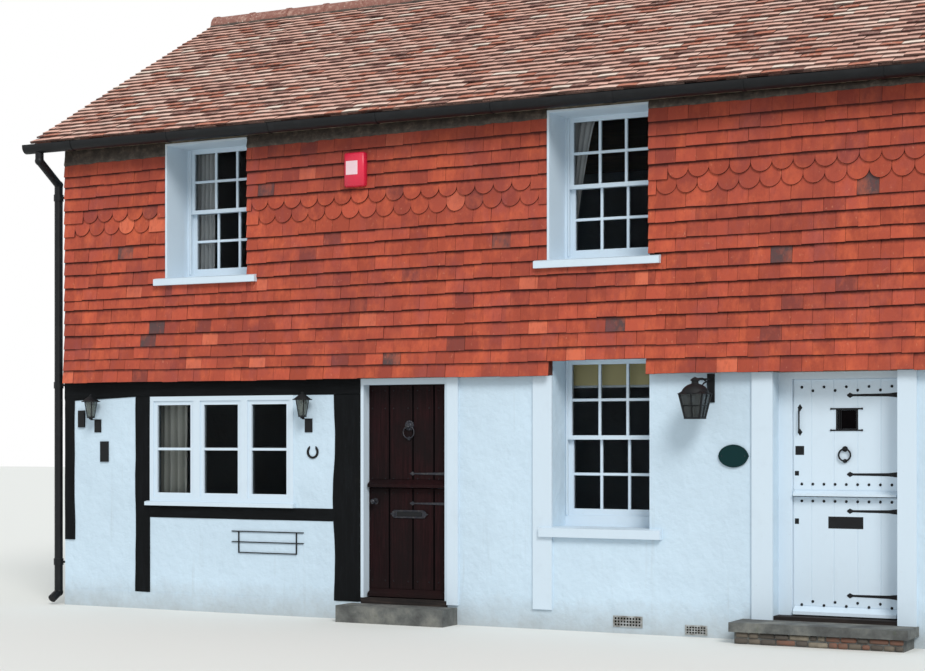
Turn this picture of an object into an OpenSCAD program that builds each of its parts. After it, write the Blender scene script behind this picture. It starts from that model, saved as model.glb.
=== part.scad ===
// Half timbered cottage: rendered ground storey, tile-hung upper storey, plain tiled roof.
// Millimetres. +X runs along the street front, the front faces -Y, +Z is up.
// The origin is at the middle of the house, on the underside of its ground floor.

/* [House] */
// Length of the street front between the outer faces of the party walls
house_l = 9000; // [8800:10:9600]
// Depth from the front wall's face to the rear wall's face
house_d = 5440; // [5000:10:6200]
// Thickness of the rendered walls and of the upper walls
wall_t = 340; // [335:5:370]
// Thickness of the timber framed wall beside the dark door
frame_t = 200; // [160:5:240]
// Thickness of each party wall
party_t = 225; // [200:5:260]
// Top of the ground floor above the street
floor_t = 180; // [160:5:186]
// Height of the upper storey's underside
storey_z = 2180; // [2160:5:2240]
// Thickness of the upper floor with its joists
upper_floor_t = 140; // [100:5:200]

/* [Roof] */
// Slope of both roof faces in degrees
roof_pitch = 29.4; // [28:0.2:31]
// Height of the tiles' top at the eaves edge
eaves_z = 4240; // [4230:5:4300]
// Reach of the tiles beyond the wall face
eaves_over = 250; // [230:5:270]
// Reach of the roof beyond each party wall
verge_over = 200; // [120:5:260]
// Depth of rafters and boarding, square to the slope
rafter_t = 110; // [100:5:120]
// Depth of the tile covering, square to the slope
roof_tile_t = 45; // [38:1:50]
// Depth of one tile's tail
tail_t = 14; // [8:1:18]
// Exposed height of a roof tile course
roof_gauge = 100; // [90:1:115]
// Radius of the half round ridge tiles
ridge_r = 115; // [100:5:130]
// Length of one ridge tile
ridge_l = 450; // [300:10:600]
// Width of the lap over each ridge tile joint
ridge_lap_w = 40; // [20:2:60]
// Height of the lap over each ridge tile joint
ridge_lap_t = 8; // [5:1:12]

/* [Eaves] */
// Distance from the wall face to the back of the eaves board
eaves_board_d = 160; // [140:5:170]
// Thickness of the eaves board
eaves_board_t = 22; // [18:1:28]
// Height of the eaves board
eaves_board_h = 85; // [70:5:100]
// Outer radius of the half round gutter
gutter_r = 62; // [54:1:64]
// Height of the gutter's straight sides
gutter_side = 16; // [8:1:18]
// Wall of the gutter
gutter_t = 4; // [3:0.5:6]
// Top of the gutter above the street
gutter_z = 4200; // [4188:1:4200]
// Spacing of the gutter brackets
bracket_gap = 1000; // [800:50:1200]
// Width of a gutter bracket
bracket_w = 25; // [20:1:35]
// Thickness of a gutter bracket
bracket_t = 4; // [3:0.5:6]
// Outer radius of the downpipe
pipe_r = 38; // [32:1:42]
// Distance of the downpipe's centre from the party wall
pipe_gap = 88; // [80:1:120]

/* [Tile hanging] */
// Bottom edge of the tile hanging
hang_z0 = 2030; // [2010:5:2060]
// Top edge of the tile hanging
hang_z1 = 4080; // [4060:5:4100]
// Depth of the hanging at a tile's tail
hang_t = 62; // [56:1:70]
// Exposed height of a hung tile course
hang_gauge = 114; // [100:1:125]
// Outward kick of the lowest course
hang_kick = 22; // [0:1:30]
// Start of the hanging from the left party wall's outer face
hang_x0 = 40; // [0:5:60]
// Depth of the mortar strip above the hanging
mortar_t = 42; // [36:1:46]

/* [Timber frame] */
// Height of the rendered plinth under the frame
plinth_z = 150; // [130:5:180]
// Width of the corner post
corner_w = 110; // [100:5:150]
// Foot of the corner post above the street
corner_foot_z = 600; // [400:10:700]
// Left side of the window stud
stud_x = 804; // [760:2:840]
// Width of the window stud
stud_w = 160; // [140:1:180]
// Width of the door post
post_w = 264; // [240:2:300]
// Underside of the bressumer
bressumer_z = 1900; // [1890:5:1930]
// Underside of the rail below the casement
rail_z = 822; // [800:2:840]
// Height of the rail below the casement
rail_h = 108; // [100:1:130]
// Width of the panel between casement and door post
right_panel_w = 408; // [390:1:430]
// Set back of the white panels behind the timbers
panel_set = 6; // [2:1:12]

/* [Casement] */
// Width of the casement window
casement_w = 1520; // [1480:2:1560]
// Width of a frame member
casement_jamb = 40; // [34:1:50]
// Height of the casement frame's foot
casement_foot = 78; // [66:1:90]
// Width of a mullion
mullion_w = 72; // [60:1:84]
// Width of a casement light's stile
light_w = 36; // [30:1:46]
// Depth of the casement frame
casement_d = 90; // [80:1:110]
// Depth of a casement light
light_d = 42; // [36:1:50]

/* [Sash windows] */
// Left side of the first upper window
upper_x1 = 1180; // [1120:5:1240]
// Left side of the second upper window
upper_x2 = 4913; // [4850:5:4980]
// Width of an upper window opening
upper_w = 863; // [820:5:900]
// Underside of an upper window's sill
upper_sill_z = 2885; // [2860:5:2900]
// Top of an upper window opening
upper_head_z = 4140; // [4120:5:4160]
// Left side of the lower sash window
lower_x = 4935; // [4910:5:4960]
// Width of the lower sash window opening
lower_w = 829; // [800:1:860]
// Underside of the lower sash window's sill
lower_sill_z = 743; // [700:5:780]
// Height of the notch in the hanging over the lower window
notch_z = 2150; // [2130:5:2155]
// Left side of the rear ground window below the first upper window
rear_x = 1197; // [1140:5:1260]
// Thickness of an upper sill
upper_sill_t = 65; // [50:1:75]
// Thickness of a lower sill
lower_sill_t = 81; // [60:1:90]
// Reach of an upper sill in front of the wall face
upper_sill_out = 100; // [90:1:120]
// Reach of a lower sill in front of the wall face
lower_sill_out = 50; // [40:1:70]
// Length of a sill beyond the opening on each side
sill_horn = 105; // [90:1:120]
// Depth of the window frames behind the wall face
sash_d = 250; // [230:1:252]
// Width of an upper window frame's jamb
upper_jamb = 50; // [40:1:60]
// Width of a lower window frame's jamb
lower_jamb = 12; // [8:1:24]
// Set back of the right lining behind the wall face
lining_set = 10; // [0:2:40]
// Thickness of a reveal lining board
lining_t = 20; // [15:1:24]
// Height of an upper window frame's wooden sill
upper_box_h = 50; // [40:1:60]
// Height of a lower window frame's wooden sill
lower_box_h = 84; // [70:1:92]
// Height of a window frame's head
box_head_h = 16; // [10:1:20]
// Width of a sash stile
stile_w = 40; // [34:1:46]
// Height of a sash's bottom rail
bottom_rail_h = 52; // [44:1:60]
// Height of a meeting rail
meeting_h = 34; // [28:1:40]
// Depth of a sash
sash_t = 38; // [32:1:40]
// Thickness of glass
glass_t = 4; // [3:0.5:6]

/* [Doors] */
// Width of the dark doorway
dark_w = 829; // [811:2:841]
// Left side of the white doorway
white_x = 6764; // [6740:2:6790]
// Width of the white doorway
white_w = 1026; // [1000:2:1040]
// Jamb width of the dark door frame
dark_jamb = 28; // [24:1:34]
// Jamb width of the white door frame
white_jamb = 105; // [90:1:112]
// Set back of the dark door frame behind the wall face
dark_set = 0; // [0:1:20]
// Set back of the white door frame behind the wall face
white_set = 130; // [110:1:140]
// Height of a door frame's head
door_head_h = 52; // [40:1:60]
// Top of the thresholds
threshold_z = 190; // [187:1:196]
// Height at which the dark door's leaves part
dark_split_z = 1118; // [1080:2:1160]
// Height at which the white door's leaves part
white_split_z = 1095; // [1060:2:1140]
// Thickness of a door leaf
leaf_t = 45; // [40:1:50]
// Running gap round a door leaf
leaf_gap = 8; // [7:0.5:9]
// Lap of a leaf behind the stop of its frame
stop_lap = 8; // [6:1:10]
// Depth of the stop in front of the dark door's leaves
dark_stop_d = 95; // [80:1:100]
// Depth of the stop in front of the white door's leaves
white_stop_d = 25; // [20:1:30]
// Reach of a weather rail in front of its leaf
weather_out = 60; // [40:1:62]
// Height of a weather rail's nose as a share of its height
weather_nose = 0.4; // [0.3:0.05:0.6]
// Height of a middle weather rail
middle_weather_h = 42; // [36:1:50]
// Height of a bottom weather rail
bottom_weather_h = 62; // [50:1:70]
// Radius of a hinge knuckle
hinge_r = 6; // [5:0.5:7]
// Height of a hinge knuckle
hinge_h = 38; // [30:1:50]
// Thickness of a hinge plate
hinge_plate_t = 2.5; // [2:0.5:3.5]
// Width of a hinge plate
hinge_plate_w = 32; // [24:1:40]
// Thickness of the strap and plate ironwork
iron_t = 5; // [4:0.5:7]
// Width of a strap hinge at its neck
strap_w = 16; // [12:1:20]
// Width of a strap hinge's spear head and of its hinge end
strap_head_w = 40; // [32:1:46]
// Radius of the boss that carries a knocker's ring
boss_r = 21; // [16:1:23]
// Radius of the boss under a knocker's ring
strike_r = 15; // [10:1:16]
// Thickness of a knocker's ring
knocker_t = 9; // [7:0.5:10]
// Width of the leaf shaped ends of the pull handle
pull_leaf_w = 38; // [28:1:44]
// Length of a strap hinge
strap_l = 385; // [300:5:420]

/* [White posts] */
// Width of the post beside the dark door
post_a_w = 104; // [90:1:120]
// Width of the post beside the lower sash window
post_b_w = 168; // [140:1:180]
// Width of the post left of the white door
post_c_w = 165; // [140:1:175]
// Width of the post right of the white door
post_d_w = 141; // [120:1:160]
// Lap of the right post over the white door's frame
post_d_lap = 80; // [60:1:90]
// Reach of the white posts in front of the wall
white_post_out = 20; // [14:1:26]

/* [Steps] */
// Height of the stone step at the white door
white_step_z = 160; // [130:5:170]
// Reach of the stone step at the white door
white_step_out = 330; // [280:5:380]
// Length of the stone step at the white door
white_step_l = 1340; // [1200:10:1400]
// Length of the stone step left of the doorway
white_step_x = 240; // [200:5:260]
// Thickness of the stone slab
slab_t = 70; // [60:1:90]
// Set back of the rubble under the slab
rubble_set = 35; // [20:1:50]
// Height of the step at the dark door
dark_step_z = 140; // [110:5:150]
// Reach of the step at the dark door
dark_step_out = 260; // [200:5:300]
// Reach of the step at the dark door to each side
dark_step_side = 90; // [60:5:120]

/* [Lanterns and fittings] */
// Radius of a coach lantern's body at its top
coach_r = 59; // [50:1:64]
// Radius of a coach lantern's body at its foot
coach_foot_r = 36; // [30:1:44]
// Radius of a coach lantern's hat
coach_hat_r = 82; // [74:1:88]
// Height of a coach lantern's body
coach_h = 135; // [120:1:150]
// Foot of the left coach lantern
coach_z1 = 1700; // [1680:2:1720]
// Foot of the right coach lantern
coach_z2 = 1698; // [1680:2:1720]
// Place of the left coach lantern
coach_x1 = 380; // [350:1:400]
// Distance of the right coach lantern's middle from the casement
coach_gap = 155; // [140:1:180]
// Distance of a coach lantern's centre from the wall
coach_out = 105; // [90:1:120]
// Width of the bracket lantern at its top
bracket_lamp_w = 200; // [180:2:220]
// Width of the bracket lantern at its foot
bracket_lamp_foot_w = 132; // [110:2:150]
// Height of the bracket lantern's glass
bracket_lamp_h = 176; // [160:2:190]
// Foot of the bracket lantern
bracket_lamp_z = 1676; // [1650:2:1700]
// Place of the bracket lantern
bracket_lamp_x = 6225; // [6200:1:6240]
// Distance of the bracket lantern's centre from the wall
bracket_lamp_out = 230; // [200:1:260]
// Outer radius of the horseshoe
shoe_r = 58; // [50:1:64]
// Distance of the horseshoe's middle from the casement
shoe_gap = 196; // [180:1:215]
// Width of the horseshoe's iron
shoe_w = 19; // [14:1:22]
// Thickness of the horseshoe's iron
shoe_t = 9; // [6:1:12]
// Middle of the horseshoe above the street
shoe_z = 1412; // [1395:1:1430]
// Length of the bare sign bars
sign_l = 738; // [600:2:760]
// Place of the sign bars' left end
sign_x = 1851; // [1830:1:1900]
// Bottom of the sign bars
sign_z = 530; // [500:1:560]
// Height of the sign frame between its bars
sign_h = 184; // [150:2:200]
// Set back of the lowest sign bar's ends
sign_low_in = 68; // [40:2:90]
// Width of a sign bar
sign_bar_w = 8; // [6:1:12]
// Thickness of a sign bar
sign_bar_t = 12; // [8:1:16]
// Width of the letter box plate beside the left lantern
box_plate_w = 90; // [70:2:100]
// Height of the letter box plate
box_plate_h = 185; // [160:5:210]
// Width of the oval plaque
plaque_w = 242; // [200:1:260]
// Height of the oval plaque
plaque_h = 175; // [150:1:190]
// Middle of the oval plaque along the front
plaque_x = 6452; // [6435:1:6460]
// Middle of the oval plaque above the street
plaque_z = 1395; // [1360:1:1430]
// Width of the alarm box
alarm_w = 195; // [170:1:210]
// Height of the alarm box
alarm_h = 286; // [250:1:300]
// Depth of the alarm box
alarm_d = 75; // [60:1:90]
// Middle of the alarm box along the front
alarm_x = 3158; // [3100:2:3220]
// Bottom of the alarm box
alarm_z = 3637; // [3600:1:3680]

/* [Hidden] */
$fn = 48;

half_l = house_l / 2;
half_d = house_d / 2;
run = 0.3;

// Roof: places along the slope come from the eaves edge of the tile bed
slope = tan(roof_pitch);
tile_v = roof_tile_t / cos(roof_pitch);
rafter_v = rafter_t / cos(roof_pitch);
eaves_y = -half_d - eaves_over;
function tile_top_z(y) = eaves_z + (y - eaves_y) * slope;
function bed_z(y) = tile_top_z(y) - tile_v;
function soffit_z(y) = bed_z(y) - rafter_v;
bed_gap = 0.1;
function wall_head_z(y) = soffit_z(y) - bed_gap;
board_foot_z = bed_z(-half_d - eaves_board_d) - eaves_board_h;

// Timber frame
casement_x = stud_x + stud_w;
post_x = casement_x + casement_w + right_panel_w;
dark_x = post_x + post_w;
casement_z = rail_z + rail_h;

// Doors
door_top_z = hang_z0;
leaf_clear = 6;
rail_clear = 14;
split_gap = 7;
leaf_z0 = threshold_z + 10;
leaf_z1 = door_top_z - door_head_h + stop_lap;
dark_face = dark_set + dark_stop_d + leaf_clear;
white_face = white_set + white_stop_d + leaf_clear;
hinge_off = hinge_r + 0.5;
hinge_end = 160;

// Street front boxes: x from the left corner, d behind the wall face
module front(x0, x1, d0, d1, z0, z1)
    translate([x0 - half_l, d0 - half_d, z0]) cube([x1 - x0, d1 - d0, z1 - z0]);

// An outline in depth and height, drawn out along the front
module front_profile(x0, x1)
    translate([x0 - half_l, -half_d, 0]) rotate([90, 0, 90]) linear_extrude(x1 - x0) children();

// An outline along the front and in height, drawn out in depth
module front_sheet(d0, d1)
    translate([-half_l, d1 - half_d, 0]) rotate([90, 0, 0]) linear_extrude(d1 - d0) children();

module rear() mirror([0, 1, 0]) children();

// Floors

module ground_floor() color("Gray") difference() {
    front(party_t, house_l - party_t, frame_t, house_d - wall_t, 0, floor_t);
    front(dark_x, house_l, 0, wall_t, -1, floor_t + 1);
}

module upper_floor() color("BurlyWood")
    front(party_t, house_l - party_t, wall_t, house_d - wall_t, storey_z, storey_z + upper_floor_t);

// Party walls rise to the underside of the roof

module party_wall(x0, front_d) front_profile(x0, x0 + party_t) polygon([
    [front_d, 0], [front_d, storey_z], [wall_t, storey_z],
    [wall_t, wall_head_z(wall_t - half_d)], [half_d, wall_head_z(0)],
    [house_d - wall_t, wall_head_z(wall_t - half_d)], [house_d - wall_t, 0]]);

module left_party_wall() color("Gainsboro") party_wall(0, frame_t);

module right_party_wall() color("Gainsboro") party_wall(house_l - party_t, wall_t);

// Rendered ground storey walls

module window_gap(x, w, z0, z1) front(x, x + w, -200, wall_t + 1, z0, z1);

module front_wall_middle() color("AliceBlue") difference() {
    front(dark_x + dark_w, white_x, 0, wall_t, 0, storey_z);
    window_gap(lower_x, lower_w, lower_sill_z, storey_z + 1);
}

// A nib of this wall hides the right jamb of the white door's frame
module front_wall_right() color("AliceBlue") {
    front(white_x + white_w, house_l, 0, wall_t, 0, storey_z);
    front(white_x + white_w - post_d_lap, white_x + white_w, 0, white_set, threshold_z, door_top_z);
}

module door_lintels() color("SaddleBrown") {
    front(dark_x, dark_x + dark_w, 0, wall_t, door_top_z, storey_z);
    front(white_x, white_x + white_w, 0, wall_t, door_top_z, storey_z);
}

// Upper walls have their heads cut to the slope of the rafters

module upper_wall() difference() {
    front_profile(0, house_l) polygon([
        [0, storey_z], [wall_t, storey_z],
        [wall_t, wall_head_z(wall_t - half_d)], [0, wall_head_z(-half_d)]]);
    for (x = [upper_x1, upper_x2]) window_gap(x, upper_w, upper_sill_z, upper_head_z);
}

module front_wall_upper() color("Gainsboro") upper_wall();

module rear_wall_upper() color("Gainsboro") rear() upper_wall();

module rear_wall_ground() color("AliceBlue") rear() difference() {
    front(0, house_l, 0, wall_t, 0, storey_z);
    for (x = [rear_x, lower_x]) window_gap(x, lower_w, lower_sill_z, storey_z + 1);
}

// Timber frame and its white panels

module frame_posts() color([0.1, 0.1, 0.12]) {
    front(0, corner_w, 0, frame_t, corner_foot_z, bressumer_z);
    front(stud_x, casement_x, 0, frame_t, plinth_z, bressumer_z);
}

// The door post is a crooked natural trunk on its left side
post_waves = [0, 6, 10, 4, -8, -14, -6, 8, 12, 4, 0];
module post_outline() polygon(concat(
    [[dark_x, bressumer_z], [dark_x, plinth_z]],
    [for (i = [0:len(post_waves) - 1])
        [post_x + post_waves[i], plinth_z + (bressumer_z - plinth_z) * i / (len(post_waves) - 1)]]));

module door_post() color([0.1, 0.1, 0.12]) front_sheet(0, frame_t) post_outline();

module bressumer_beam() color([0.1, 0.1, 0.12])
    front(0, dark_x, 0, frame_t, bressumer_z, storey_z);

module sill_rail() color([0.1, 0.1, 0.12])
    difference() {
        front(casement_x, post_x + 20, 0, frame_t, rail_z, casement_z);
        door_post_space();
    }

// The room that the door post takes, drawn out past both faces
module door_post_space() front_sheet(-1, frame_t + 1) post_outline();

module infill_panels() color("AliceBlue") {
    front_sheet(panel_set, frame_t) polygon([
        [0, plinth_z], [stud_x, plinth_z], [stud_x, bressumer_z], [corner_w, bressumer_z],
        [corner_w, corner_foot_z], [0, corner_foot_z]]);
    difference() {
        front(casement_x, post_x + 20, panel_set, frame_t, plinth_z, rail_z);
        door_post_space();
    }
    difference() {
        front(casement_x + casement_w, post_x + 20, panel_set, frame_t, casement_z, bressumer_z);
        door_post_space();
    }
}

module plinth() color("AliceBlue") front(0, dark_x, 0, frame_t, 0, plinth_z);

module white_posts() color("White") {
    for (p = [
        [dark_x + dark_w, post_a_w], [lower_x - post_b_w, post_b_w],
        [white_x - post_c_w, post_c_w], [white_x + white_w - post_d_lap, post_d_w]])
        front(p[0], p[0] + p[1], -white_post_out, 0, white_step_z, hang_z0);
}

// Tile hanging: each course leans out over the one below

hang_n = round((hang_z1 - hang_z0) / hang_gauge);
function hang_z(i) = hang_z0 + (hang_z1 - hang_z0) * i / hang_n;
function hang_out(i) = hang_t + hang_kick * max(0, 1 - i / 3);

module hanging_courses() front_profile(hang_x0, house_l) polygon(concat(
    [[0, hang_z1], [0, hang_z0]],
    [for (i = [0:hang_n - 1], k = [0, 1])
        [k == 0 ? -hang_out(i) : tail_t - hang_out(i + 1), hang_z(i + k)]]));

module upper_window_gaps() for (x = [upper_x1, upper_x2]) {
    window_gap(x, upper_w, upper_sill_z, upper_head_z);
    front(x - sill_horn, x + upper_w + sill_horn, -200, 0, upper_sill_z, upper_sill_z + upper_sill_t);
}

module tile_hanging_front() color("OrangeRed") difference() {
    hanging_courses();
    upper_window_gaps();
    window_gap(lower_x, lower_w, lower_sill_z, notch_z);
    alarm_seat();
}

module tile_hanging_rear() color("OrangeRed") rear() difference() {
    hanging_courses();
    upper_window_gaps();
    for (x = [rear_x, lower_x]) window_gap(x, lower_w, lower_sill_z, notch_z);
}

module mortar_strip() difference() {
    front_profile(hang_x0, house_l) polygon([
        [0, hang_z1], [-mortar_t, hang_z1],
        [-mortar_t, wall_head_z(-half_d - mortar_t)], [0, wall_head_z(-half_d)]]);
    upper_window_gaps();
}

module eaves_mortar() color("Silver") {
    mortar_strip();
    rear() mortar_strip();
}

// Roof

// The rafter feet are cut level with the foot of the eaves board
module roof_slope() front_profile(-verge_over, house_l + verge_over) polygon([
    [-eaves_board_d, board_foot_z], [half_d - (soffit_z(0) - board_foot_z) / slope, board_foot_z],
    [half_d, soffit_z(0)], [half_d, bed_z(0)],
    [-eaves_board_d, bed_z(-half_d - eaves_board_d)]]);

module roof_front() color("Sienna") roof_slope();

module roof_rear() color("Sienna") rear() roof_slope();

// A point of the tile covering, s along the slope from the eaves and h square to it
bed_eaves_y = -eaves_over + roof_tile_t * sin(roof_pitch);
bed_eaves_z = eaves_z - roof_tile_t * cos(roof_pitch);
function on_slope(s, h) = [
    bed_eaves_y + s * cos(roof_pitch) - h * sin(roof_pitch),
    bed_eaves_z + s * sin(roof_pitch) + h * cos(roof_pitch)];
bed_l = (half_d - bed_eaves_y) / cos(roof_pitch);
cover_n = round(bed_l / roof_gauge);
cover_l = bed_l / cover_n;

module slope_courses() front_profile(-verge_over, house_l + verge_over) polygon(concat(
    [on_slope(0, 0)],
    [for (i = [0:cover_n - 1], k = [0, 1]) on_slope((i + k) * cover_l, roof_tile_t - k * tail_t)],
    [on_slope(bed_l, 0)]));

module roof_tiles_front() color("Peru") slope_courses();

module roof_tiles_rear() color("Peru") rear() slope_courses();

// Ridge tiles are half round hollow tiles that sit over both slopes

ridge_n = round((house_l + 2 * verge_over) / ridge_l);
ridge_step = (house_l + 2 * verge_over) / ridge_n;
ridge_z = tile_top_z(0) - ridge_r * slope - 10;

module ridge_tiles() color("Chocolate") difference() {
    translate([-half_l - verge_over, 0, ridge_z]) rotate([90, 0, 90]) difference() {
        union() for (i = [0:ridge_n - 1])
            translate([0, 0, i * ridge_step]) {
                cylinder(r = ridge_r, h = ridge_step);
                cylinder(r = ridge_r + ridge_lap_t, h = ridge_lap_w);
            }
        translate([-ridge_r * 2, -ridge_r * 3, -1])
            cube([ridge_r * 4, ridge_r * 3, house_l + 2 * verge_over + 2]);
    }
    roof_space();
}

// Everything under the top of the tiles, for seating what lies on the slopes
module roof_space() {
    slope_space();
    rear() slope_space();
}

module slope_space() front_profile(-verge_over - 1, house_l + verge_over + 1) polygon([
    on_slope(0, 0), on_slope(0, roof_tile_t),
    [half_d + 0.01, on_slope(0, roof_tile_t)[1] + (half_d - on_slope(0, roof_tile_t)[0]) * slope],
    [half_d + 0.01, 0]]);

// Eaves boards and gutters

module eaves_board() front_profile(-verge_over, house_l + verge_over) polygon([
    [-eaves_board_d - eaves_board_t, bed_z(-half_d - eaves_board_d - eaves_board_t)],
    [-eaves_board_d, bed_z(-half_d - eaves_board_d)],
    [-eaves_board_d, board_foot_z], [-eaves_board_d - eaves_board_t, board_foot_z]]);

module eaves_boards() color([0.12, 0.12, 0.13]) {
    eaves_board();
    rear() eaves_board();
}

gutter_d = -eaves_board_d - eaves_board_t - gutter_r - bracket_t;
gutter_over = 40;
gutter_x0 = -verge_over - gutter_over;
gutter_l = house_l + 2 * (verge_over + gutter_over);
bracket_n = floor(gutter_l / bracket_gap);
bracket_step = gutter_l / bracket_n;
gutter_foot = gutter_z - gutter_side - gutter_r;
bracket_up = 20;
outlet_l = 70;
swan_drop = 336;
collar_h = 60;
ear_h = 20;

// A half round trough with straight sides, level at the top
module trough(r) difference() {
    union() {
        translate([0, -gutter_side]) circle(r = r);
        translate([-r, -gutter_side]) square([2 * r, gutter_side]);
    }
    translate([-2 * r, 0]) square([4 * r, 2 * r]);
}

module trough_ring(r, t) difference() {
    trough(r);
    translate([0, -gutter_side]) circle(r = r - t);
    translate([t - r, -gutter_side]) square([2 * (r - t), gutter_side + 1]);
}

module gutter() {
    translate([gutter_x0 - half_l, gutter_d - half_d, gutter_z]) rotate([90, 0, 90]) {
        linear_extrude(gutter_l) trough_ring(gutter_r, gutter_t);
        for (e = [0, gutter_l - gutter_t]) translate([0, 0, e]) linear_extrude(gutter_t)
            trough(gutter_r);
        for (i = [0:bracket_n - 1]) translate([0, 0, (i + 0.5) * bracket_step])
            linear_extrude(bracket_w) {
                trough_ring(gutter_r + bracket_t, bracket_t + 1);
                translate([gutter_r, -gutter_side]) square([bracket_t, gutter_side + bracket_up]);
            }
    }
}

module gutter_front() color([0.12, 0.12, 0.13]) difference() {
    gutter();
    pipe_hole();
}

module gutter_rear() color([0.12, 0.12, 0.13]) rear() gutter();

// Downpipe: an outlet under the gutter, a swan neck and a pipe down to a shoe

pipe_x = -pipe_gap;
pipe_d = 20;
pipe_top_z = gutter_z - swan_drop;
pipe_foot_z = 110;
bend_r = pipe_r + 4;

module pipe_hole() translate([pipe_x - half_l, gutter_d - half_d, gutter_foot - 20])
    cylinder(r = pipe_r - 6, h = 40);

module downpipe() color([0.12, 0.12, 0.13]) {
    translate([-half_l, -half_d, 0]) {
        neck_run = pipe_d - gutter_d;
        neck_drop = gutter_foot - outlet_l - pipe_top_z;
        neck_l = sqrt(neck_run * neck_run + neck_drop * neck_drop);
        // Outlet
        translate([pipe_x, gutter_d, pipe_top_z + neck_drop])
            cylinder(r = pipe_r, h = outlet_l);
        translate([pipe_x, gutter_d, pipe_top_z + neck_drop]) sphere(r = bend_r);
        // Slanted neck
        translate([pipe_x, gutter_d, pipe_top_z + neck_drop])
            rotate([-90 - atan(neck_drop / neck_run), 0, 0]) cylinder(r = pipe_r, h = neck_l);
        translate([pipe_x, pipe_d, pipe_top_z]) sphere(r = bend_r);
        // Pipe and shoe
        translate([pipe_x, pipe_d, pipe_foot_z]) cylinder(r = pipe_r, h = pipe_top_z - pipe_foot_z);
        translate([pipe_x, pipe_d, pipe_foot_z]) sphere(r = bend_r);
        translate([pipe_x, pipe_d, pipe_foot_z]) rotate([120, 0, 0]) cylinder(r = pipe_r, h = 110);
        // Collars with ears fixed to the end of the front wall
        for (z = [pipe_foot_z + 250, (pipe_foot_z + pipe_top_z) / 2, pipe_top_z - 150])
            translate([pipe_x, pipe_d, z]) {
                cylinder(r = pipe_r + 7, h = collar_h);
                translate([0, -ear_h / 2, ear_h]) cube([pipe_gap, ear_h, ear_h]);
            }
    }
}

// Sash windows: place, opening width, sill underside, sill thickness, head and lining
upper_row = [[upper_x1, upper_w], [upper_x2, upper_w]];

module box_frame(x, w, z0, z1, box_h, jamb, lined) difference() {
    front(x, x + w, lined ? -hang_t : sash_d, wall_t, z0, z1);
    front(x + jamb, x + w - jamb, sash_d - 1, wall_t + 1, z0 + box_h, z1 - box_head_h);
    if (lined) {
        front(x + lining_t, x + w - lining_t, -hang_t - 1, sash_d, z0 - 1, z1 - box_head_h);
        front(x + w - lining_t - 1, x + w + 1, -hang_t - 1, lining_set, z0 - 1, z1 - box_head_h);
    }
}

module sash_ring(x0, x1, d, z0, z1, bottom, top) difference() {
    front(x0, x1, d, d + sash_t, z0, z1);
    front(x0 + stile_w, x1 - stile_w, d - 1, d + sash_t + 1, z0 + bottom, z1 - top);
}

// The upper sash runs in front, the lower one behind it, and the rails meet halfway
module sash_pair(x, w, low, z1, jamb) {
    x0 = x + jamb;
    x1 = x + w - jamb;
    high = z1 - box_head_h;
    middle = (low + high) / 2;
    sash_ring(x0, x1, sash_d + 8, middle - meeting_h / 2, high, meeting_h, stile_w);
    sash_ring(x0, x1, sash_d + 8 + sash_t, low, middle + meeting_h / 2, bottom_rail_h, meeting_h);
}

module pane(x0, x1, d, z0, z1)
    front(x0, x1, d + (sash_t - glass_t) / 2, d + (sash_t + glass_t) / 2, z0, z1);

module pane_pair(x, w, low, z1, jamb) {
    x0 = x + jamb + stile_w;
    x1 = x + w - jamb - stile_w;
    high = z1 - box_head_h;
    middle = (low + high) / 2;
    pane(x0, x1, sash_d + 8, middle + meeting_h / 2, high - stile_w);
    pane(x0, x1, sash_d + 8 + sash_t, low + bottom_rail_h, middle - meeting_h / 2);
}

upper_z0 = upper_sill_z + upper_sill_t;
lower_z0 = lower_sill_z + lower_sill_t;
upper_low = upper_z0 + upper_box_h;
lower_low = lower_z0 + lower_box_h;

module window_frames() color("White") {
    for (p = upper_row) {
        box_frame(p[0], p[1], upper_z0, upper_head_z, upper_box_h, upper_jamb, true);
        rear() box_frame(p[0], p[1], upper_z0, upper_head_z, upper_box_h, upper_jamb, true);
    }
    box_frame(lower_x, lower_w, lower_z0, storey_z, lower_box_h, lower_jamb, false);
    rear() for (x = [rear_x, lower_x])
        box_frame(x, lower_w, lower_z0, storey_z, lower_box_h, lower_jamb, false);
}

module window_sashes() color("White") {
    for (p = upper_row) {
        sash_pair(p[0], p[1], upper_low, upper_head_z, upper_jamb);
        rear() sash_pair(p[0], p[1], upper_low, upper_head_z, upper_jamb);
    }
    sash_pair(lower_x, lower_w, lower_low, storey_z, lower_jamb);
    rear() for (x = [rear_x, lower_x]) sash_pair(x, lower_w, lower_low, storey_z, lower_jamb);
}

module window_glass() color([0.6, 0.75, 0.85, 0.4]) {
    for (p = upper_row) {
        pane_pair(p[0], p[1], upper_low, upper_head_z, upper_jamb);
        rear() pane_pair(p[0], p[1], upper_low, upper_head_z, upper_jamb);
    }
    pane_pair(lower_x, lower_w, lower_low, storey_z, lower_jamb);
    rear() for (x = [rear_x, lower_x]) pane_pair(x, lower_w, lower_low, storey_z, lower_jamb);
    for (i = [0:2]) front(
        light_x(i) + light_w, light_x(i) + light_open_w - light_w,
        light_set + (light_d - glass_t) / 2, light_set + (light_d + glass_t) / 2,
        casement_z + casement_foot + light_w, bressumer_z - casement_jamb - light_w);
}

// A sill has a weathered nose, and horns past the opening in front of the wall
module sill(x, w, z, t, out, flat_d) {
    front_profile(x - sill_horn, x + w + sill_horn) polygon([
        [-out, z], [0, z], [0, z + t], [flat_d, z + t], [-out, z + t - 10]]);
    front(x, x + w, 0, wall_t, z, z + t);
}

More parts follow.
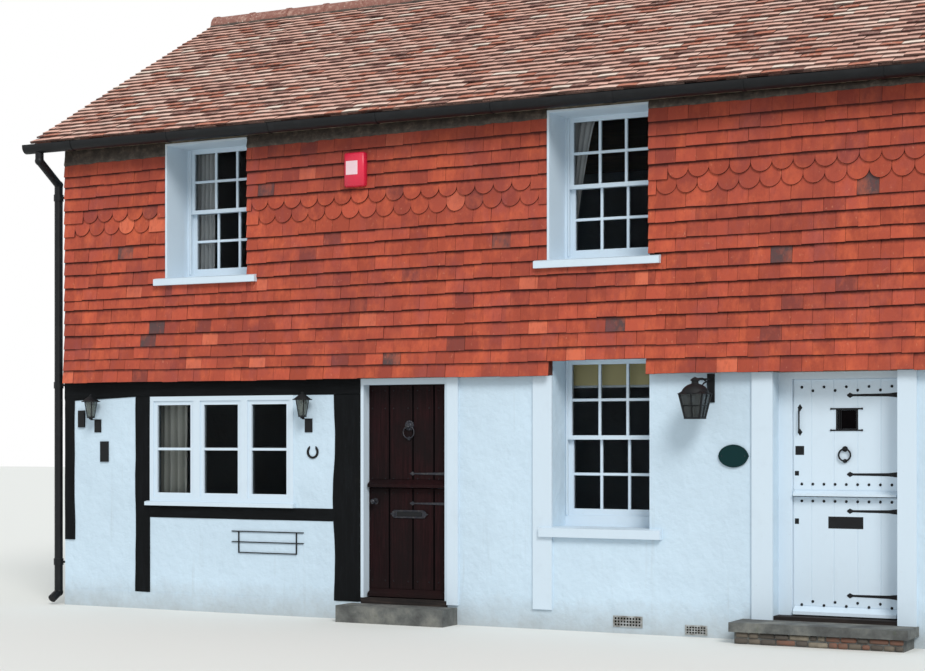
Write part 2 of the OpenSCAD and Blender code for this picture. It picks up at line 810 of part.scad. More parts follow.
module window_sills() color("White") {
    for (p = upper_row) {
        sill(p[0], p[1], upper_sill_z, upper_sill_t, upper_sill_out, -hang_t);
        rear() sill(p[0], p[1], upper_sill_z, upper_sill_t, upper_sill_out, -hang_t);
    }
    difference() {
        sill(lower_x, lower_w, lower_sill_z, lower_sill_t, lower_sill_out, -1);
        white_post_space();
    }
    rear() for (x = [rear_x, lower_x])
        sill(x, lower_w, lower_sill_z, lower_sill_t, lower_sill_out, -1);
}

module white_post_space() front(
    lower_x - post_b_w, lower_x, -white_post_out, 0, white_step_z, hang_z0);

// Casement window with three lights between stud and panel

light_open_w = (casement_w - 2 * casement_jamb - 2 * mullion_w) / 3;
light_set = 12;
function light_x(i) = casement_x + casement_jamb + i * (light_open_w + mullion_w);

module casement_frame() color("White") {
    difference() {
        front(casement_x, casement_x + casement_w, 0, casement_d, casement_z, bressumer_z);
        for (i = [0:2]) front(
            light_x(i), light_x(i) + light_open_w, -1, casement_d + 1,
            casement_z + casement_foot, bressumer_z - casement_jamb);
    }
    // Sill board under the lights
    front_profile(casement_x - 30, casement_x + casement_w + 20) polygon([
        [-40, casement_z], [0, casement_z], [0, casement_z + 40], [-40, casement_z + 32]]);
}

module casement_lights() color("White") for (i = [0:2]) difference() {
    front(
        light_x(i), light_x(i) + light_open_w, light_set, light_set + light_d,
        casement_z + casement_foot, bressumer_z - casement_jamb);
    front(
        light_x(i) + light_w, light_x(i) + light_open_w - light_w,
        light_set - 1, light_set + light_d + 1,
        casement_z + casement_foot + light_w, bressumer_z - casement_jamb - light_w);
}

// Stable doors: frame with a stop in front of two leaves that open inwards

module door_frame(x, w, jamb, set, stop_d) {
    face = set + stop_d;
    back = face + leaf_clear + leaf_t;
    difference() {
        front(x, x + w, set, back, threshold_z, door_top_z);
        front(x + jamb, x + w - jamb, set - 1, face + 1, threshold_z - 1, door_top_z - door_head_h);
        front(
            x + jamb - stop_lap - leaf_gap, x + w - jamb + stop_lap + leaf_gap,
            face, back + 1, threshold_z - 1, door_top_z - door_head_h + stop_lap + leaf_gap);
    }
}

// Hinge pieces on the frame, one under each hinge piece of a leaf
module frame_hinges(x, w, jamb, face, split_z) {
    back = face + leaf_t;
    px = x + w - jamb + stop_lap + leaf_gap / 2;
    for (z = hinge_places(split_z)) {
        translate([px - half_l, back + hinge_off - half_d, z]) cylinder(r = hinge_r, h = hinge_h);
        front(px, px + leaf_gap / 2 + min(hinge_plate_w, jamb - stop_lap - leaf_gap), back,
            back + hinge_plate_t, z, z + hinge_h);
    }
}

function hinge_places(split_z) = [
    threshold_z + hinge_end, split_z - hinge_end - 2 * hinge_h,
    split_z + hinge_end, door_top_z - door_head_h - hinge_end - 2 * hinge_h];

module door_leaf(x, w, jamb, d0, z0, z1, weather_h, hinges) {
    d1 = d0 + leaf_t;
    x0 = x + jamb - stop_lap;
    x1 = x + w - jamb + stop_lap;
    px = x1 + leaf_gap / 2;
    front(x0, x1, d0, d1, z0, z1);
    // Weather rail with a sloped top, between the stops
    front_profile(x + jamb + rail_clear, x + w - jamb - rail_clear) polygon([
        [d0, z0], [d0, z0 + weather_h], [d0 - weather_out, z0 + weather_h * weather_nose],
        [d0 - weather_out, z0]]);
    for (z = hinges) {
        translate([px - half_l, d1 + hinge_off - half_d, z + hinge_h + run])
            cylinder(r = hinge_r, h = hinge_h);
        front(px - leaf_gap / 2 - hinge_plate_w, px, d1, d1 + hinge_plate_t,
            z + hinge_h + run, z + 2 * hinge_h + run);
    }
}

module dark_door_frame() color("White") {
    door_frame(dark_x, dark_w, dark_jamb, dark_set, dark_stop_d);
    frame_hinges(dark_x, dark_w, dark_jamb, dark_face, dark_split_z);
}

module dark_door_lower() color([0.2, 0.1, 0.1]) door_leaf(
    dark_x, dark_w, dark_jamb, dark_face, leaf_z0, dark_split_z - split_gap, bottom_weather_h,
    [for (i = [0, 1]) hinge_places(dark_split_z)[i]]);

module dark_door_upper() color([0.2, 0.1, 0.1]) door_leaf(
    dark_x, dark_w, dark_jamb, dark_face, dark_split_z, leaf_z1, bottom_weather_h,
    [for (i = [2, 3]) hinge_places(dark_split_z)[i]]);

module white_door_frame() color("White") {
    door_frame(white_x, white_w, white_jamb, white_set, white_stop_d);
    frame_hinges(white_x, white_w, white_jamb, white_face, white_split_z);
}

module white_door_lower() color("White") door_leaf(
    white_x, white_w, white_jamb, white_face, leaf_z0, white_split_z - split_gap, bottom_weather_h,
    [for (i = [0, 1]) hinge_places(white_split_z)[i]]);

module white_door_upper() color("White") door_leaf(
    white_x, white_w, white_jamb, white_face, white_split_z, leaf_z1, middle_weather_h,
    [for (i = [2, 3]) hinge_places(white_split_z)[i]]);

// Ironwork on the doors lies on the outer face of its leaf

plate_t = 4;
knocker_z = 1450;
pull_z = 1590;
pull_l = 158;
pull_out = 32;

module plate(x, z, w, h, face, t) front(x - w / 2, x + w / 2, face - t, face, z - h / 2, z + h / 2);

// Half of a strap's outline, [distance from the tip, share of the head's width]
strap_edge = [[0, 0.1], [22, 0.5], [46, strap_w / strap_head_w / 2], [strap_l - 150, 0.26],
    [strap_l - 70, 0.3], [strap_l, 0.5]];

// A strap ends in a spear head and widens towards its hinge
module strap(z) {
    x0 = white_x + white_w - white_jamb - rail_clear - strap_l;
    front_sheet(white_face - iron_t, white_face) polygon(concat(
        [for (p = strap_edge) [x0 + p[0], z + p[1] * strap_head_w]],
        [for (i = [len(strap_edge) - 1:-1:0])
            [x0 + strap_edge[i][0], z - strap_edge[i][1] * strap_head_w]]));
}

// A ring that hangs on the pin of a boss, over a striking boss
boss_h = 12;
pin_r = 9;
pin_l = 28;
ring_out = 20;
module ring_knocker(x, z, r, face) translate([x - half_l, face - half_d, z]) rotate([90, 0, 0]) {
    cylinder(r = boss_r, h = boss_h);
    cylinder(r = pin_r, h = pin_l);
    translate([0, -r, ring_out]) rotate_extrude() translate([r, 0]) circle(r = knocker_t / 2);
    translate([0, -2 * r, 0]) cylinder(r = strike_r, h = ring_out - knocker_t / 2 - run);
}

module white_upper_iron() color([0.1, 0.1, 0.1]) {
    for (z = [door_top_z - 178, white_split_z + 165]) strap(z);
    hatch();
    // Lock plates
    plate(white_x + 157, 1438, 68, 68, white_face, plate_t);
    plate(white_x + 135, 1265, 32, 35, white_face, plate_t);
}

// The hatch has a frame round a thin back plate, with crossbars that run past it
hatch_x = white_x + 522;
hatch_z = 1671;
hatch_w = 168;
hatch_h = 172;
hatch_bar = 14;
hatch_t = 6;
crossbar_l = 242;
crossbar_z = 82;
crossbar_h = 8;
module hatch() {
    difference() {
        plate(hatch_x, hatch_z, hatch_w, hatch_h, white_face, hatch_t);
        plate(hatch_x, hatch_z, hatch_w - 2 * hatch_bar, hatch_h - 2 * hatch_bar, white_face + 1,
            hatch_t + 2);
    }
    plate(hatch_x, hatch_z, hatch_w - 2 * hatch_bar, hatch_h - 2 * hatch_bar, white_face,
        hatch_t / 3);
    for (s = [-1, 1])
        plate(hatch_x, hatch_z + s * crossbar_z, crossbar_l, crossbar_h, white_face, hatch_t);
}

module white_door_knocker() color([0.1, 0.1, 0.1])
    ring_knocker(white_x + 508, knocker_z, 45, white_face);

// A bar on two feet with leaf shaped ends, with room for a hand behind it
pull_x = white_x + white_jamb + 54;
pull_leaf_h = 56;
module white_pull_handle() color([0.1, 0.1, 0.1]) {
    for (s = [-1, 1]) front_sheet(white_face - plate_t, white_face)
        translate([pull_x, pull_z + pull_l / 2 + s * (pull_l / 2 + pull_leaf_h / 4)]) polygon([
            [0, pull_leaf_h / 2], [pull_leaf_w / 2, 0], [0, -pull_leaf_h / 2], [-pull_leaf_w / 2, 0]]);
    translate([pull_x - half_l, white_face - half_d, pull_z]) {
        for (z = [0, pull_l]) translate([0, 0, z]) rotate([90, 0, 0]) cylinder(r = 7, h = pull_out);
        translate([0, -pull_out, -8]) cylinder(r = 6, h = pull_l + 16);
    }
}

module white_lower_iron() color([0.1, 0.1, 0.1]) {
    for (z = [white_split_z - 110, leaf_z0 + 152]) strap(z);
    plate(white_x + 512, 897, 267, 90, white_face, plate_t);
    plate(white_x + 135, 902, 32, 42, white_face, plate_t);
}

knob_r = 22;
knob_out = 48;

module dark_door_knob_plate() color("DimGray") {
    plate(dark_x + 415, 894, 300, 68, dark_face, plate_t);
    translate([dark_x + 91 - half_l, dark_face - half_d, 997]) rotate([90, 0, 0]) {
        cylinder(r = knob_r + 4, h = iron_t);
        cylinder(r = pin_r, h = knob_out);
        translate([0, 0, knob_out]) sphere(r = knob_r);
    }
}

module dark_door_knocker() color("DimGray") ring_knocker(dark_x + 417, 1630, 51, dark_face);

// Thresholds close the doorways' feet and steps stand in front of them

module thresholds() color("DimGray") {
    front(dark_x, dark_x + dark_w, 0, wall_t, 0, threshold_z);
    front(white_x, white_x + white_w, 0, wall_t, 0, threshold_z);
}

module door_steps() color("Gray") {
    x0 = white_x - white_step_x;
    x1 = x0 + white_step_l;
    front(x0, x1, -white_step_out, 0, white_step_z - slab_t, white_step_z);
    front(x0 + rubble_set, x1 - rubble_set, rubble_set - white_step_out, 0, 0, white_step_z - slab_t);
    front(dark_x - dark_step_side, dark_x + dark_w + dark_step_side, -dark_step_out, 0,
        0, dark_step_z);
}

// Coach lanterns: a round tapered body of four bars under a wide low hat

coach_x2 = casement_x + casement_w + coach_gap;
coach_d = panel_set - coach_out;
tray_h = 12;
bar_t = 6;
bar_w = 8;
glass_wall = 3;
coach_hat_h = 46;
finial_h = 8;
coach_plate_w = 74;
coach_plate_h = 118;

// The shell between a tapered body's outside and the same body one wall thinner
module taper(foot_r, top_r, h, wall) difference() {
    cylinder(r1 = foot_r, r2 = top_r, h = h);
    cylinder(r1 = foot_r - wall, r2 = top_r - wall, h = h);
}

module coach_lantern(x, z) translate([x - half_l, coach_d - half_d, z]) {
    cylinder(r = coach_foot_r * 0.5, h = tray_h);
    translate([0, 0, tray_h]) cylinder(r = coach_foot_r, h = tray_h);
    translate([0, 0, 2 * tray_h]) intersection() {
        taper(coach_foot_r, coach_r, coach_h, bar_t);
        for (a = [45:90:315]) rotate([0, 0, a])
            translate([0, -bar_w / 2, 0]) cube([coach_r, bar_w, coach_h]);
    }
    translate([0, 0, 2 * tray_h + coach_h]) {
        cylinder(r1 = coach_hat_r, r2 = coach_hat_r * 0.3, h = coach_hat_h);
        cylinder(r = coach_hat_r * 0.14, h = coach_hat_h + finial_h);
    }
    // A candle stands on the tray
    translate([0, 0, 2 * tray_h]) cylinder(r = bar_w, h = coach_h * 0.5);
    // Wall plate with an arm up to the foot
    translate([-coach_plate_w / 2, -coach_d - plate_t * 2 + panel_set, -coach_plate_h])
        cube([coach_plate_w, plate_t * 2, coach_plate_h]);
    translate([-bar_t, 0, -bar_w]) cube([2 * bar_t, panel_set - coach_d, bar_w]);
}
module coach_lanterns() color([0.12, 0.12, 0.12]) {
    coach_lantern(coach_x1, coach_z1);
    coach_lantern(coach_x2, coach_z2);
}

// Bracket lantern: a square tapered body under a hipped roof and a round chimney

hood_w = bracket_lamp_w + 15;
hood_h = 52;
chimney_r = 27;
chimney_h = 58;
arm_t = 14;
arm_turn = 60;
arm_plate_x = 45;
arm_plate_w = 60;
arm_plate_h = 220;
arm_plate_up = 50;

// A square prism that tapers from one width to another
module square_taper(w0, w1, h) intersection() {
    square_wedge(w0, w1, h);
    rotate([0, 0, 90]) square_wedge(w0, w1, h);
}

module square_wedge(w0, w1, h) rotate([90, 0, 0]) linear_extrude(2 * hood_w, center = true)
    polygon([[-w0 / 2, 0], [w0 / 2, 0], [w1 / 2, h], [-w1 / 2, h]]);

module square_shell(w0, w1, h, wall) difference() {
    square_taper(w0, w1, h);
    square_taper(w0 - 2 * wall, w1 - 2 * wall, h);
}

// Bars at the corners and one upright in the middle of each face
module lamp_bars() intersection() {
    square_shell(bracket_lamp_foot_w, bracket_lamp_w, bracket_lamp_h, bar_t);
    union() {
        for (a = [45, 135]) rotate([0, 0, a])
            translate([-bracket_lamp_w, -bar_w, 0]) cube([2 * bracket_lamp_w, 2 * bar_w, bracket_lamp_h]);
        for (a = [0, 90]) rotate([0, 0, a])
            translate([-bracket_lamp_w, -bar_w / 2, 0]) cube([2 * bracket_lamp_w, bar_w, bracket_lamp_h]);
        translate([-bracket_lamp_w, -bracket_lamp_w, (bracket_lamp_h - bar_w) / 2])
            cube([2 * bracket_lamp_w, 2 * bracket_lamp_w, bar_w]);
    }
}

module bracket_lantern() color([0.12, 0.12, 0.12])
    translate([bracket_lamp_x - half_l, -half_d, bracket_lamp_z]) {
        chimney_top = tray_h + bracket_lamp_h + hood_h + chimney_h;
        translate([0, -bracket_lamp_out, 0]) {
            square_taper(bracket_lamp_foot_w, bracket_lamp_foot_w, tray_h);
            translate([0, 0, tray_h]) lamp_bars();
            translate([0, 0, tray_h + bracket_lamp_h]) square_taper(hood_w, 2 * chimney_r + arm_t, hood_h);
            translate([0, 0, tray_h + bracket_lamp_h + hood_h - bar_t])
                cylinder(r = chimney_r, h = chimney_h + bar_t);
            translate([0, 0, tray_h]) cylinder(r = bar_w, h = bracket_lamp_h * 0.5);
        }
        // Arm from the chimney's head to the wall, turned aside to its plate
        translate([-arm_t / 2, -bracket_lamp_out, chimney_top])
            cube([arm_t, bracket_lamp_out - arm_turn, arm_t]);
        translate([-arm_t / 2, -arm_turn - arm_t, chimney_top])
            cube([arm_plate_x + arm_t, arm_t, arm_t]);
        translate([arm_plate_x - arm_t / 2, -arm_turn - arm_t, chimney_top])
            cube([arm_t, arm_turn + arm_t, arm_t]);
        translate([arm_plate_x - arm_plate_w / 2, -2 * plate_t, chimney_top + arm_plate_up - arm_plate_h])
            cube([arm_plate_w, 2 * plate_t, arm_plate_h]);
    }

// A glass body stands inside the bars of each lantern

module coach_glass(x, z) translate([x - half_l, coach_d - half_d, z + 2 * tray_h])
    taper(coach_foot_r - bar_t - run, coach_r - bar_t - run, coach_h, glass_wall);

module lantern_glass() color([0.8, 0.8, 0.7, 0.4]) {
    coach_glass(coach_x1, coach_z1);
    coach_glass(coach_x2, coach_z2);
    translate([bracket_lamp_x - half_l, -bracket_lamp_out - half_d, bracket_lamp_z + tray_h])
        square_shell(bracket_lamp_foot_w - 2 * (bar_t + run), bracket_lamp_w - 2 * (bar_t + run),
            bracket_lamp_h, glass_wall);
}

// Horseshoe, bare sign bars and two small black plates

box_plate_x = 412;
box_plate_z = 1315;
box_plate_t = 14;
side_plate_x = 161;
side_plate_w = 72;
side_plate_z = 1628;
side_plate_h = 154;
side_plate_t = 18;

module wall_iron() color([0.12, 0.12, 0.12]) {
    translate([casement_x + casement_w + shoe_gap - half_l, panel_set - half_d, shoe_z]) rotate([90, 0, 0])
        linear_extrude(shoe_t) difference() {
            circle(r = shoe_r);
            circle(r = shoe_r - shoe_w);
            translate([-shoe_r * 0.5, 0]) square([shoe_r, shoe_r * 1.2]);
        }
    for (b = [[0, sign_low_in], [sign_h / 2, 0], [sign_h, 0]])
        front(sign_x + b[1], sign_x + sign_l - b[1], panel_set - sign_bar_t, panel_set,
            sign_z + b[0], sign_z + b[0] + sign_bar_w);
    for (x = [sign_x + sign_low_in, sign_x + sign_l - sign_low_in - sign_bar_w])
        front(x, x + sign_bar_w, panel_set - sign_bar_t, panel_set, sign_z, sign_z + sign_h);
    front(box_plate_x, box_plate_x + box_plate_w, panel_set - box_plate_t, panel_set,
        box_plate_z, box_plate_z + box_plate_h);
    front(side_plate_x, side_plate_x + side_plate_w, panel_set - side_plate_t, panel_set,
        side_plate_z, side_plate_z + side_plate_h);
}

module oval_plaque() color("DarkSlateGray")
    translate([plaque_x - half_l, -half_d, plaque_z]) rotate([90, 0, 0])
        linear_extrude(14) intersection() {
            oval_radius = (plaque_w * plaque_w + plaque_h * plaque_h) / (4 * plaque_h);
            translate([0, oval_radius - plaque_h / 2]) circle(r = oval_radius, $fn = 128);
            translate([0, plaque_h / 2 - oval_radius]) circle(r = oval_radius, $fn = 128);
        }

module alarm_seat() front(
    alarm_x - alarm_w / 2, alarm_x + alarm_w / 2, -hang_t - hang_kick - 1, tail_t + 4 - hang_t,
    alarm_z, alarm_z + alarm_h);

module alarm_box() color("Crimson") front(
    alarm_x - alarm_w / 2, alarm_x + alarm_w / 2, tail_t + 4 - hang_t - alarm_d,
    tail_t + 4 - hang_t, alarm_z, alarm_z + alarm_h);

module air_bricks() color("Gray") {
    front(5460, 5706, -8, 0, 49, 138);
    front(6060, 6240, -8, 0, 16, 92);
}

ground_floor();
upper_floor();
left_party_wall();
right_party_wall();
front_wall_middle();
front_wall_right();
front_wall_upper();
door_lintels();
infill_panels();
plinth();
frame_posts();
door_post();
bressumer_beam();
sill_rail();
white_posts();
rear_wall_ground();
rear_wall_upper();
tile_hanging_front();
tile_hanging_rear();
eaves_mortar();
roof_front();
roof_rear();
roof_tiles_front();
roof_tiles_rear();
ridge_tiles();
eaves_boards();
gutter_front();
gutter_rear();
downpipe();
window_frames();
window_sashes();
window_glass();
window_sills();
casement_frame();
casement_lights();
dark_door_frame();
dark_door_lower();
dark_door_upper();
dark_door_knob_plate();
dark_door_knocker();
white_door_frame();
white_door_lower();
white_door_upper();
white_lower_iron();
white_upper_iron();
white_door_knocker();
white_pull_handle();
thresholds();
door_steps();
coach_lanterns();
bracket_lantern();
lantern_glass();
wall_iron();
oval_plaque();
alarm_box();
air_bricks();
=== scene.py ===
"""Dresses a tile-hung timber framed cottage: clay tiles, limewash, painted joinery, ironwork and glass."""

import math
import random

import bmesh
import bpy
from bpy.props import FloatProperty, FloatVectorProperty, IntProperty, PointerProperty
from mathutils import Matrix, Vector, noise


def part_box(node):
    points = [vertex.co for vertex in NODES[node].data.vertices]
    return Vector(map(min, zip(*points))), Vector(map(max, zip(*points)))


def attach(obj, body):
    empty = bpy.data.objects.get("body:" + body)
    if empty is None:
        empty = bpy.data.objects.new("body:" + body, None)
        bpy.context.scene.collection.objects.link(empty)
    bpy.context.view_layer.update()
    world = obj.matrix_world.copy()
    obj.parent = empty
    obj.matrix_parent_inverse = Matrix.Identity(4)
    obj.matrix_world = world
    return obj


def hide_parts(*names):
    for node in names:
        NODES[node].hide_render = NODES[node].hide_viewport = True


bl_info = {
    "name": "Tile-hung Cottage",
    "version": (1, 0, 0),
    "blender": (4, 5, 0),
    "location": "View3D > Sidebar > Cottage",
    "description": "Tiles, joinery, ironwork and finishes for a half timbered cottage",
    "category": "Add Mesh",
}

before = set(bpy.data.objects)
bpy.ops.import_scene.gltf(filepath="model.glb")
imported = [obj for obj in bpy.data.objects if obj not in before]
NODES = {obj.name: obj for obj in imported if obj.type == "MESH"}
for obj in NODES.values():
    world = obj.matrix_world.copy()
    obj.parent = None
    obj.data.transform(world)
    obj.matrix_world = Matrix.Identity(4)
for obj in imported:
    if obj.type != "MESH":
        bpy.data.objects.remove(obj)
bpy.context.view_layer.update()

# The street face of the walls, the rear face, and the two ends of the house
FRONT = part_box("front_wall_middle")[0].y
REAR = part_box("rear_wall_ground")[1].y
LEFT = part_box("plinth")[0].x
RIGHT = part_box("front_wall_right")[1].x
LENGTH = RIGHT - LEFT

# The tile hanging: its edges, its courses, half the gap between tiles, the shown length that keeps a tile
# free of the next course's shade, and how far the tails stand out, more so in the lowest courses. Then the
# height of every course's tails above the lowest edge, in millimetres, at three places along the front,
# because the courses were hung by eye
HANG_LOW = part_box("tile_hanging_front")[0].z
HANG_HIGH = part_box("tile_hanging_front")[1].z
HANG_START = 0.042
HANG_COURSES = 18
ROUND_COURSES = (12, 13)
TILE_GAP = 0.0009
UNSHADED = 9.0
HUNG_OUT, FLARE, FLARED_COURSES = 0.066, 0.021, 3
COURSE_PLACES = (0.3, 3.7, 7.9)
COURSE_TAILS = (
    (0, 116, 214, 314, 430, 544, 666, 754, 866, 988, 1104, 1224, 1336, 1454, 1574, 1686, 1792, 1886),
    (0, 112, 214, 330, 436, 564, 686, 798, 912, 1030, 1152, 1250, 1354, 1476, 1600, 1714, 1826, 1938),
    (0, 124, 240, 354, 474, 588, 704, 820, 958, 1062, 1190, 1296, 1410, 1528, 1642, 1764, 1860, 1964),
)

# The lower edge of the mortar under the eaves: places along the front and their heights
MORTAR_EDGE = ((0.0, 4.018), (2.5, 4.050), (4.5, 4.072), (7.9, 4.104), (9.0, 4.108))

# The upper windows, from the left end of the front
UPPER_WINDOWS = (1.180, 4.913)
UPPER_WIDTH = 0.863
UPPER_SILL = 2.885
UPPER_SILL_TOP = 2.950
UPPER_HEAD = 4.140
UPPER_LOW = 3.000
SILL_HORN = 0.105

# The ground floor sash windows, and which stand on the street side (-1) and at the rear (1)
LOWER_WINDOW = 4.935
REAR_WINDOW = 1.197
LOWER_WIDTH = 0.829
LOWER_HEAD = 2.180
LOWER_LOW = 0.908
GROUND_WINDOWS = {-1: (LOWER_WINDOW,), 1: (REAR_WINDOW, LOWER_WINDOW)}

# Parts of a sash window that every window shares
SASH_DEPTH = 0.258
SASH_THICK = 0.038
WALL_THICK = 0.340
UPPER_JAMB = 0.050
LOWER_JAMB = 0.012
STILE = 0.040
TOP_RAIL = 0.040
BOTTOM_RAIL = 0.052
MEETING_RAIL = 0.034
FRAME_HEAD = 0.016

# The casement window and its curtain rod
CASEMENT_LEFT = 0.964
CASEMENT_WIDTH = 1.520
CASEMENT_JAMB = 0.040
MULLION = 0.072
LIGHT_STILE = 0.036
LIGHT_DEPTH = 0.012
LIGHT_THICK = 0.042
CASEMENT_BAR = 1.433
ROD_DEPTH, ROD_HIGH = 0.150, 1.880

# Roof slopes, their tiles and the eaves
PITCH = math.radians(29.4)
ROOF_COURSES = 34
ROOF_TILE_DEPTH = 0.045
ROOF_LEAN = math.atan(0.0138 / 0.0995)
VERGE = 0.2
EAVES_HEIGHT = 4.240
EAVES_REACH = 0.25
RIDGE_RINGS = 190


def srgb(red, green, blue):
    """A colour given from 0 to 255, as linear light."""
    def linear(part):
        part /= 255
        return part / 12.92 if part <= 0.04045 else ((part + 0.055) / 1.055) ** 2.4
    return (linear(red), linear(green), linear(blue), 1.0)


class CottageSizes(bpy.types.PropertyGroup):
    """Sizes of the pieces that cover and finish the house."""

    hung_width: FloatProperty(
        name="Hung tile width", description="Width of a tile on the walls",
        default=0.167, min=0.14, max=0.2, unit="LENGTH")
    roof_width: FloatProperty(
        name="Roof tile width", description="Width of a tile on the roof",
        default=0.165, min=0.14, max=0.2, unit="LENGTH")
    tile_length: FloatProperty(
        name="Tile length", description="Whole length of a tile, hidden part included",
        default=0.235, min=0.2, max=0.28, unit="LENGTH")
    hung_thick: FloatProperty(
        name="Hung tile thickness", description="Thickness of a tile on the walls",
        default=0.0145, min=0.008, max=0.02, unit="LENGTH")
    roof_thick: FloatProperty(
        name="Roof tile thickness", description="Thickness of a tile on the roof",
        default=0.0135, min=0.008, max=0.02, unit="LENGTH")
    bar_width: FloatProperty(
        name="Glazing bar width", description="Face width of a sash window's glazing bar",
        default=0.023, min=0.012, max=0.03, unit="LENGTH")
    stud_radius: FloatProperty(
        name="Stud radius", description="Radius of a door stud",
        default=0.011, min=0.005, max=0.014, unit="LENGTH")
    seed: IntProperty(
        name="Seed", description="Chooses which tiles are darker, lighter or out of true",
        default=7, min=0, max=999)


class CottageColours(bpy.types.PropertyGroup):
    """Main colours of the house."""

    render: FloatVectorProperty(
        name="Limewash", description="Rendered walls", subtype="COLOR", size=4,
        min=0, max=1, default=srgb(198, 217, 231))
    joinery: FloatVectorProperty(
        name="White paint", description="Windows, posts and the white door", subtype="COLOR", size=4,
        min=0, max=1, default=srgb(203, 218, 230))
    timber: FloatVectorProperty(
        name="Black timber", description="Exposed frame", subtype="COLOR", size=4,
        min=0, max=1, default=srgb(11, 13, 15))
    dark_door: FloatVectorProperty(
        name="Dark door", description="Stained boards of the left door", subtype="COLOR", size=4,
        min=0, max=1, default=srgb(36, 17, 19))
    hung_tile: FloatVectorProperty(
        name="Hung tile", description="Most of the tiles on the walls", subtype="COLOR", size=4,
        min=0, max=1, default=srgb(169, 76, 56))
    roof_tile: FloatVectorProperty(
        name="Roof tile", description="Most of the tiles on the roof", subtype="COLOR", size=4,
        min=0, max=1, default=srgb(224, 174, 157))


def sizes():
    return bpy.context.scene.cottage_sizes


def colours():
    return bpy.context.scene.cottage_colours


class Number:
    """A node's output that adds Math nodes when it is used in an expression."""

    def __init__(self, nodes, socket):
        self.nodes = nodes
        self.socket = socket

    def __add__(self, other):
        return self.nodes.maths("ADD", self, other)

    def __radd__(self, other):
        return self.nodes.maths("ADD", other, self)

    def __sub__(self, other):
        return self.nodes.maths("SUBTRACT", self, other)

    def __rsub__(self, other):
        return self.nodes.maths("SUBTRACT", other, self)

    def __mul__(self, other):
        return self.nodes.maths("MULTIPLY", self, other)

    def __rmul__(self, other):
        return self.nodes.maths("MULTIPLY", other, self)

    def __truediv__(self, other):
        return self.nodes.maths("DIVIDE", self, other)

    def __rtruediv__(self, other):
        return self.nodes.maths("DIVIDE", other, self)


class Nodes:
    """Builds a node tree, one node for each call."""

    def __init__(self, tree):
        self.tree = tree

    def node(self, kind, settings=None, values=None):
        """A node of this kind, its settings first and then the values or links of its sockets."""
        made = self.tree.nodes.new(kind)
        for name, value in (settings or {}).items():
            if name == "stops":
                self.stops(made.color_ramp, value)
            else:
                setattr(made, name, value)
        for name, value in (values or {}).items():
            self.put(self.socket(made.inputs, name), value)
        return made

    @staticmethod
    def stops(ramp, stops):
        while len(ramp.elements) < len(stops):
            ramp.elements.new(1.0)
        for element, (place, tone) in zip(ramp.elements, stops):
            element.position = place
            element.color = toned(tone)

    @staticmethod
    def socket(sockets, name):
        if isinstance(name, int):
            return sockets[name]
        return next(s for s in sockets if s.enabled and name in (None, s.name))

    def put(self, socket, value):
        """Links a Number, a node or an output to the socket, or sets its value."""
        if isinstance(value, bpy.types.Node):
            value = self.out(value)
        value = getattr(value, "socket", value)
        if isinstance(value, bpy.types.NodeSocket):
            self.tree.links.new(value, socket)
        else:
            socket.default_value = value

    def out(self, node, name=None):
        return self.socket(node.outputs, name)

    def number(self, node, name=None):
        return Number(self, self.out(node, name))

    def maths(self, operation, first, second=0.0, clamped=False):
        return self.number(self.node(
            "ShaderNodeMath", {"operation": operation, "use_clamp": clamped}, {0: first, 1: second}))

    def clamp(self, value):
        return self.maths("ADD", value, 0.0, True)


def toned(tone):
    """Three numbers from 0 to 255 as linear light; anything else as it is."""
    return srgb(*tone) if isinstance(tone, tuple) and len(tone) == 3 else tone


